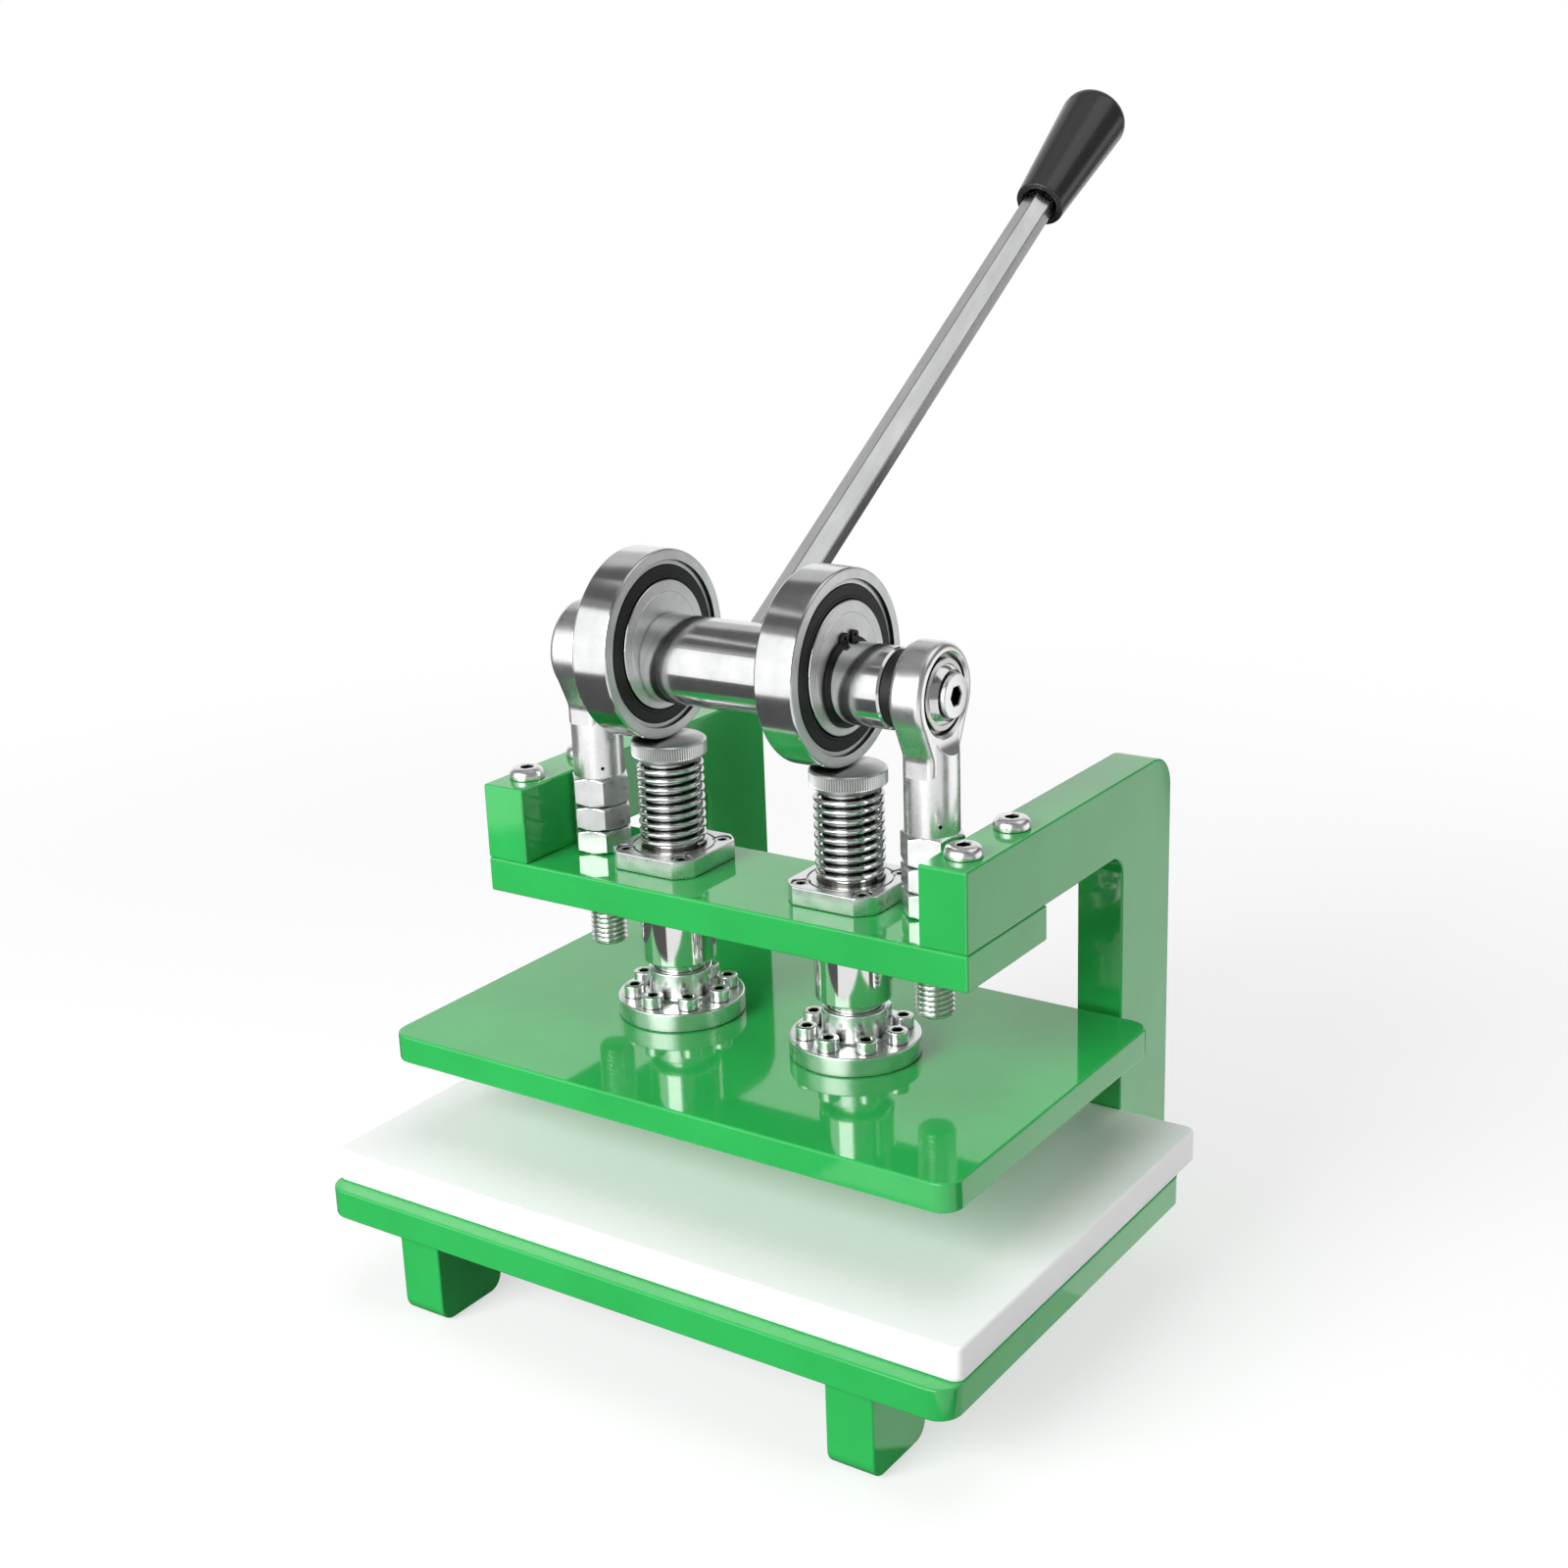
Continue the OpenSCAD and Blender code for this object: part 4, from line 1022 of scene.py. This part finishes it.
class DIECUTTER_OT_rollers(Operator):
    """Rings and black seals of the two roller bearings"""
    bl_idname = "diecutter.rollers"
    bl_label = "Rollers"

    def execute(self, context):
        for side in SIDES:
            at = Matrix.Translation(middle(f"outer_ring_{side}")) @ ALONG_X
            self.rings(side, context.scene.die_rollers, at)
            self.seals(side, context.scene.die_rollers, at)
        return {"FINISHED"}

    def rings(self, side, sizes, at):
        half, outside, bore = sizes.width / 2, sizes.outside / 2, sizes.bore / 2 + SLIP
        circle, groove = (sizes.bore + sizes.outside) / 4, sizes.ball / 2 + 0.1 * MM
        track, land = outside - sizes.ring, half - 2.6 * MM
        race = arc(math.acos((track - circle) / groove), 8)
        rows = [(circle + groove * math.cos(a), groove * math.sin(a)) for a in race]
        rows += rounded([(track, land, 0), (track, half, 0.5 * MM), (outside, half, 1.3 * MM),
                         (outside, -half, 1.3 * MM), (track, -half, 0.5 * MM), (track, -land, 0)],
                        closed=False, fine=5)
        # The wall above a seal gets the black finish, as painted shade in the recess over the seal
        bm = marked(turned(rows, loop=True, steps=128),
                    lambda spot: spot.xy.length < track + 0.05 * MM and abs(spot.z) > half - 2 * MM)
        piece(f"roller_outer_ring_{side}", bm, "turned_steel", f"{side}_roller", [f"outer_ring_{side}"],
              at)
        inner = sizes.bore / 2 + sizes.ring
        rows = [(circle - groove * math.cos(a), -groove * math.sin(a)) for a in race]
        rows += rounded([(inner, -land, 0), (inner, -half, 0.8 * MM), (bore, -half, 0.1 * MM),
                         (bore, half, 0.1 * MM), (inner, half, 0.8 * MM), (inner, land, 0)],
                        closed=False, fine=4)
        piece(f"roller_inner_ring_{side}", turned(rows, loop=True, steps=128), "turned_steel", "crank",
              [f"inner_ring_{side}"], at)

    def seals(self, side, sizes, at):
        half, inside = sizes.width / 2, sizes.bore / 2 + sizes.ring + 0.3 * MM
        outside = sizes.outside / 2 - sizes.ring - SLIP
        # Radius, and height over the roller's face in millimetres
        profile = [(inside, -2.3), (inside, -1.3), (inside + 0.5 * MM, -0.9), (inside + 1.3 * MM, -0.9),
                   (inside + 1.7 * MM, -1.3), (outside - 2.4 * MM, -1.3), (outside - 1.9 * MM, -1.9),
                   (outside, -1.9), (outside, -2.3)]
        shapes = [turned([(r, face * (half + z * MM)) for r, z in profile], loop=True, steps=128)
                  for face in (1, -1)]
        # The rim that holds the rubber is bare steel
        bm = marked(together(shapes),
                    lambda spot: spot.xy.length > outside - 1.5 * MM and abs(spot.z) > half - 2 * MM)
        piece(f"black_seals_{side}", bm, "black_rubber", f"{side}_roller", [f"roller_seals_{side}"],
              at, second="turned_steel")


class DIECUTTER_OT_screws(Operator):
    """Round-headed screws on the arms, and the small screws in flanges and hubs"""
    bl_idname = "diecutter.screws"
    bl_label = "Screws"

    def execute(self, context):
        guides = context.scene.die_guides
        low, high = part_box("beam_screws")
        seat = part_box("side_frame_left")[1].z
        reach = (high.z - seat) * 1.7 / 1.1
        spots = [(x, y, seat) for x in (low.x + reach, high.x - reach) for y in (low.y + reach, high.y - reach)]
        heads = [placed(self.round_head(reach, high.z - seat), Matrix.Translation(spot)) for spot in spots]
        piece("round_arm_screws", together(heads), "bright_zinc", "frame", ["beam_screws"])
        for side in SIDES:
            spot = middle(f"guide_post_{side}")
            pitch, top = guides.screw_pitch / 2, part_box(f"guide_bush_{side}")[1].z - 5.5 * MM
            heads = [placed(self.straight_head(guides.flange_screw),
                            Matrix.Translation((spot.x + x * pitch, spot.y + y * pitch, top)))
                     for x, y in CORNERS]
            piece(f"flange_screws_{side}", together(heads), "screw_zinc", "frame", [f"bush_screws_{side}"])
            circle, top = guides.hub_screw_circle / 2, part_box(f"post_hub_{side}")[0].z + guides.hub_thickness
            heads = []
            for k in range(guides.hub_screws):
                around = math.tau * k / guides.hub_screws - math.pi / 2
                x, y = spot.x + circle * math.cos(around), spot.y + circle * math.sin(around)
                # Each socket stands at another turn
                at = Matrix.Translation((x, y, top)) @ Matrix.Rotation(1.3 * k, 4, "Z")
                heads.append(placed(self.straight_head(guides.hub_screw), at))
            piece(f"hub_cap_screws_{side}", together(heads), "bright_zinc", "press", [f"hub_screws_{side}"])
        return {"FINISHED"}

    def round_head(self, reach, height):
        """Domed head on a thin rim, with a hexagon socket; it sits on z = 0."""
        socket, shank, end, mouth = 6 * MM, 5 * MM, -40 * MM, height - 0.4 * MM
        six = hexed(socket)
        dome = [(reach * (1 - 0.42 * k / 6 * k / 6), height * (0.28 + 0.72 * math.sin(math.pi / 2 * k / 6)))
                for k in range(7)]
        rows = [(0, end), (shank, end), (shank, 0), (reach - 0.3 * MM, 0), (reach, 0.3 * MM), *dome,
                (lambda a: six(a) + 0.5 * MM, height), (six, mouth), (six, height * 0.42), (0, height * 0.2)]
        return socket_shaded(turned(rows, steps=72), socket, 0, mouth)

    def straight_head(self, thread):
        """Straight head with a hexagon socket, in proportion to its thread; it sits on z = 0."""
        six, one, mouth = hexed(0.8 * thread), thread / 5, 0.94 * thread
        rows = [(0, -10), (2.5, -10), (2.5, 0), (4.1, 0), (4.25, 0.2), (4.25, 4.3), (4.05, 4.75), (3.6, 5)]
        rows = [(r * one, z * one) for r, z in rows]
        rows += [(lambda a: six(a) + 0.07 * thread, thread), (six, mouth), (six, 0.46 * thread),
                 (0, 0.28 * thread)]
        return socket_shaded(turned(rows, steps=48), 0.8 * thread, 0, mouth)


class DIECUTTER_OT_inner_parts(Operator):
    """Finishes for the solids inside the machine"""
    bl_idname = "diecutter.inner_parts"
    bl_label = "Inner Parts"

    def execute(self, context):
        inside = {"base_screws": "screw_zinc"}
        for side in SIDES:
            inside |= {f"guide_liner_{side}": "oiled_bronze", f"ball_cage_{side}": "oiled_bronze",
                       f"bearing_balls_{side}": "turned_steel"}
        for node, finish in inside.items():
            slots = frame["nodes"][node].data.materials
            slots.clear()
            slots.append(finish_named(finish))
        return {"FINISHED"}


# Stage

AIM = Vector((0, -0.1, 0.25))
SENSOR = 36  # width of the camera's film in millimetres
CLIP = (0.05, 50)  # nearest and farthest that the camera sees
FLOOR_RADIUS = 8
FLOOR_DROP = 0.4 * MM  # the floor lies this far under the feet
FLOOR_GLOW = 0.62  # the floor's own light near the machine
FLOOR_FADE = (0.45, 1.3)  # distances over which the floor turns white
# Lamps as place from the aim, size and setting
LAMPS = {"front_lamp": ((-0.5, -2.0, 0.82), 1.5, "key"), "top_lamp": ((0.1, 0.0, 2.2), 1.6, "top"),
         "right_lamp": ((2.3, 0.05, 0.02), 0.8, "fill"), "back_lamp": ((0.4, 2.2, 0.2), 1.5, "back")}
# Levels of the light tent from straight down to straight up
TENT = ((0, 0.08), (0.34, 0.1), (0.92, 0.12), (0.95, 0.35), (1, 0.4))
TENT_RADIUS = 3
TENT_FLOOR = -0.2502  # from the aim, just under the ground
# Panes of the tent as turn, half width, lowest and highest in degrees, and level
PANES = ((-16, 40, -17, 36, 1.25), (-3, 21, -2, 38, 4.5), (35, 42, -40, -6, 0.9),
         (125.95, 25.95, -70, 10, 1.1), (77, 26, -78, -42, 0.7), (121, 38, 40, 72, 1.05),
         (-145, 45, -10, 27, 1.0), (-145, 40, 26, 48, 0.6), (-70, 16, 52.2, 54.6, 0.9),
         (-40, 140, -15.5, 43, 0.26))
PANE_EDGE = 0.6  # degrees over which a pane fades


def ramp(tree, value, stops):
    """Grey level along a row of (place, level) stops."""
    node = add(tree, "ValToRGB", {0: value})
    band = node.color_ramp
    while len(band.elements) < len(stops):
        band.elements.new(1)
    for element, (place, level) in zip(band.elements, stops):
        element.position = place
        element.color = (level, level, level, 1)
    return node.outputs[0]


def seen(tree):
    """1 for the camera and for what shows in metal or glass, and 0 for other light."""
    path = add(tree, "LightPath").outputs
    both = maths(tree, "MAXIMUM", path["Is Camera Ray"], path["Is Glossy Ray"])
    return maths(tree, "MAXIMUM", both, path["Is Transmission Ray"])


class DIECUTTER_OT_stage(Operator):
    """Pale floor, soft lamps, light tent and camera"""
    bl_idname = "diecutter.stage"
    bl_label = "Stage"

    def execute(self, context):
        settings = context.scene.die_stage
        context.scene.view_settings.view_transform = "Standard"
        self.world(context.scene, settings)
        self.floor()
        self.tent()
        for name, (away, size, setting) in LAMPS.items():
            self.lamp(name, Vector(away), size, getattr(settings, setting))
        self.camera(context.scene, settings)
        return {"FINISHED"}

    def world(self, scene, settings):
        scene.world = bpy.data.worlds.new("white_studio")
        tree = emptied(scene.world)
        strength = between(tree, seen(tree), settings.ambient, 1, 0, 1)
        sky = add(tree, "Background", {"Color": (1, 1, 1, 1), "Strength": strength})
        add(tree, "OutputWorld", {"Surface": sky.outputs[0]})

    def floor(self):
        """Pale round floor that keeps the shadow and turns into the white of the studio further out."""
        bm = turned([(0, 0), (FLOOR_RADIUS, 0)], steps=96)
        bmesh.ops.delete(bm, geom=[f for f in bm.faces if len(f.verts) > 4], context="FACES_ONLY")
        floor = shown("pale_floor", meshed("pale_floor", bm))
        floor.location.z = -FLOOR_DROP
        floor.visible_glossy = False
        material, tree, shader = blank("pale_floor", Base_Color=(0.4, 0.4, 0.4, 1), Roughness=0.9,
                                       Specular_IOR_Level=0.0)
        far = vectors(tree, "LENGTH", spot_on(tree))
        white = add(tree, "Emission", {"Strength": seen(tree)})
        glow = add(tree, "Emission", {"Strength": maths(tree, "MULTIPLY", seen(tree), FLOOR_GLOW)})
        near = add(tree, "AddShader", {0: shader.outputs[0], 1: glow.outputs[0]})
        fade = add(tree, "MapRange", {"Value": far, "From Min": FLOOR_FADE[0], "From Max": FLOOR_FADE[1]},
                   interpolation_type="SMOOTHSTEP")
        whole = add(tree, "MixShader", {0: fade.outputs[0], 1: near.outputs[0], 2: white.outputs[0]})
        output = next(n for n in tree.nodes if n.type == "OUTPUT_MATERIAL")
        tree.links.new(whole.outputs[0], output.inputs["Surface"])
        floor.data.materials.append(material)

    def tent(self):
        """Light tent with pale and dark panes over a dark floor, seen only in the gloss of paint and metal."""
        dome = [(TENT_RADIUS * math.cos(math.pi * k / 40), TENT_RADIUS * math.sin(math.pi * k / 40))
                for k in range(20)]
        bm = turned([(0, TENT_FLOOR), (TENT_RADIUS, TENT_FLOOR), *dome, (0, TENT_RADIUS)], steps=64)
        tent = shown("light_tent", meshed("light_tent", bm))
        tent.location = AIM
        for ray in ("camera", "diffuse", "transmission", "volume_scatter", "shadow"):
            setattr(tent, f"visible_{ray}", False)
        material = bpy.data.materials.new("light_tent")
        tree = emptied(material)
        way = vectors(tree, "NORMALIZE", spot_on(tree))
        rise = height_of(tree, way)
        flat = vectors(tree, "NORMALIZE", stretched(tree, way, (1, 1, 0)))
        whole = ramp(tree, between(tree, rise, 0, 1, -1, 1), TENT)
        for pane in PANES:
            whole = maths(tree, "MAXIMUM", whole, self.pane(tree, flat, rise, *pane))
        glow = add(tree, "Emission", {"Strength": whole})
        add(tree, "OutputMaterial", {"Surface": glow.outputs[0]})
        tent.data.materials.append(material)

    def pane(self, tree, flat, rise, turn, half, low, high, level):
        """A bright pane of the tent, from its middle's angle towards +X of the front, in degrees."""
        turn, half, low, high, soft = (math.radians(a) for a in (turn, half, low, high, PANE_EDGE))
        facing = vectors(tree, "DOT_PRODUCT", flat, (math.sin(turn), -math.cos(turn), 0))
        across = between(tree, facing, 0, level, math.cos(half + soft), math.cos(half - soft))
        above = between(tree, rise, 0, 1, math.sin(low - soft / 2), math.sin(low + soft / 2))
        below = between(tree, rise, 1, 0, math.sin(high - soft / 2), math.sin(high + soft / 2))
        return maths(tree, "MULTIPLY", maths(tree, "MULTIPLY", across, above), below)

    def lamp(self, name, away, size, level):
        disc = bpy.data.lights.new(name, "AREA")
        disc.shape, disc.size = "DISK", size
        disc.energy = level * (math.pi * away.length) ** 2
        obj = shown(name, disc)
        obj.location = AIM + away
        obj.rotation_euler = away.to_track_quat("Z", "Y").to_euler()
        obj.visible_glossy = False

    def camera(self, scene, settings):
        data = bpy.data.cameras.new("photo_view")
        data.lens, data.sensor_width = settings.lens, SENSOR
        data.clip_start, data.clip_end = CLIP
        camera = shown("photo_view", data)
        turn, rise = settings.azimuth, settings.elevation
        back = Vector((math.sin(turn) * math.cos(rise), -math.cos(turn) * math.cos(rise), math.sin(rise)))
        right = Vector((math.cos(turn), math.sin(turn), 0))
        up = back.cross(right)
        view = Matrix((right, up, back)).transposed() @ Matrix.Rotation(settings.roll, 3, "Z")
        camera.matrix_world = Matrix.Translation(settings.camera) @ view.to_4x4()
        scene.camera = camera


GROUPS = {"die_plates": PlateSizes, "die_guides": GuideSizes, "die_springs": SpringSizes,
          "die_rod_ends": RodEndSizes, "die_crank": CrankSizes, "die_rollers": RollerSizes,
          "die_finishes": Finishes, "die_stage": StageSettings}
STEPS = (DIECUTTER_OT_painted_plates, DIECUTTER_OT_cutting_board, DIECUTTER_OT_guides,
         DIECUTTER_OT_return_springs, DIECUTTER_OT_rod_ends, DIECUTTER_OT_crank, DIECUTTER_OT_lever,
         DIECUTTER_OT_rollers, DIECUTTER_OT_screws, DIECUTTER_OT_inner_parts, DIECUTTER_OT_stage)


class DIECUTTER_PT_machine(Panel):
    """Sizes, colours and steps of the machine"""
    bl_idname = "DIECUTTER_PT_machine"
    bl_label = "Die Cutting Machine"
    bl_space_type = "VIEW_3D"
    bl_region_type = "UI"
    bl_category = "Die Cutter"

    def draw(self, context):
        for name, group in GROUPS.items():
            box = self.layout.box()
            box.label(text=name.removeprefix("die_").replace("_", " ").capitalize())
            for key in group.__annotations__:
                box.prop(getattr(context.scene, name), key)
        for step in STEPS:
            self.layout.operator(step.bl_idname)


def register():
    for cls in (*GROUPS.values(), *STEPS, DIECUTTER_PT_machine):
        bpy.utils.register_class(cls)
    for name, group in GROUPS.items():
        setattr(bpy.types.Scene, name, PointerProperty(type=group))


def unregister():
    for name in GROUPS:
        delattr(bpy.types.Scene, name)
    for cls in reversed((*GROUPS.values(), *STEPS, DIECUTTER_PT_machine)):
        bpy.utils.unregister_class(cls)


def main():
    register()
    for step in STEPS:
        group, name = step.bl_idname.split(".")
        getattr(getattr(bpy.ops, group), name)()


if __name__ == "__main__":
    main()
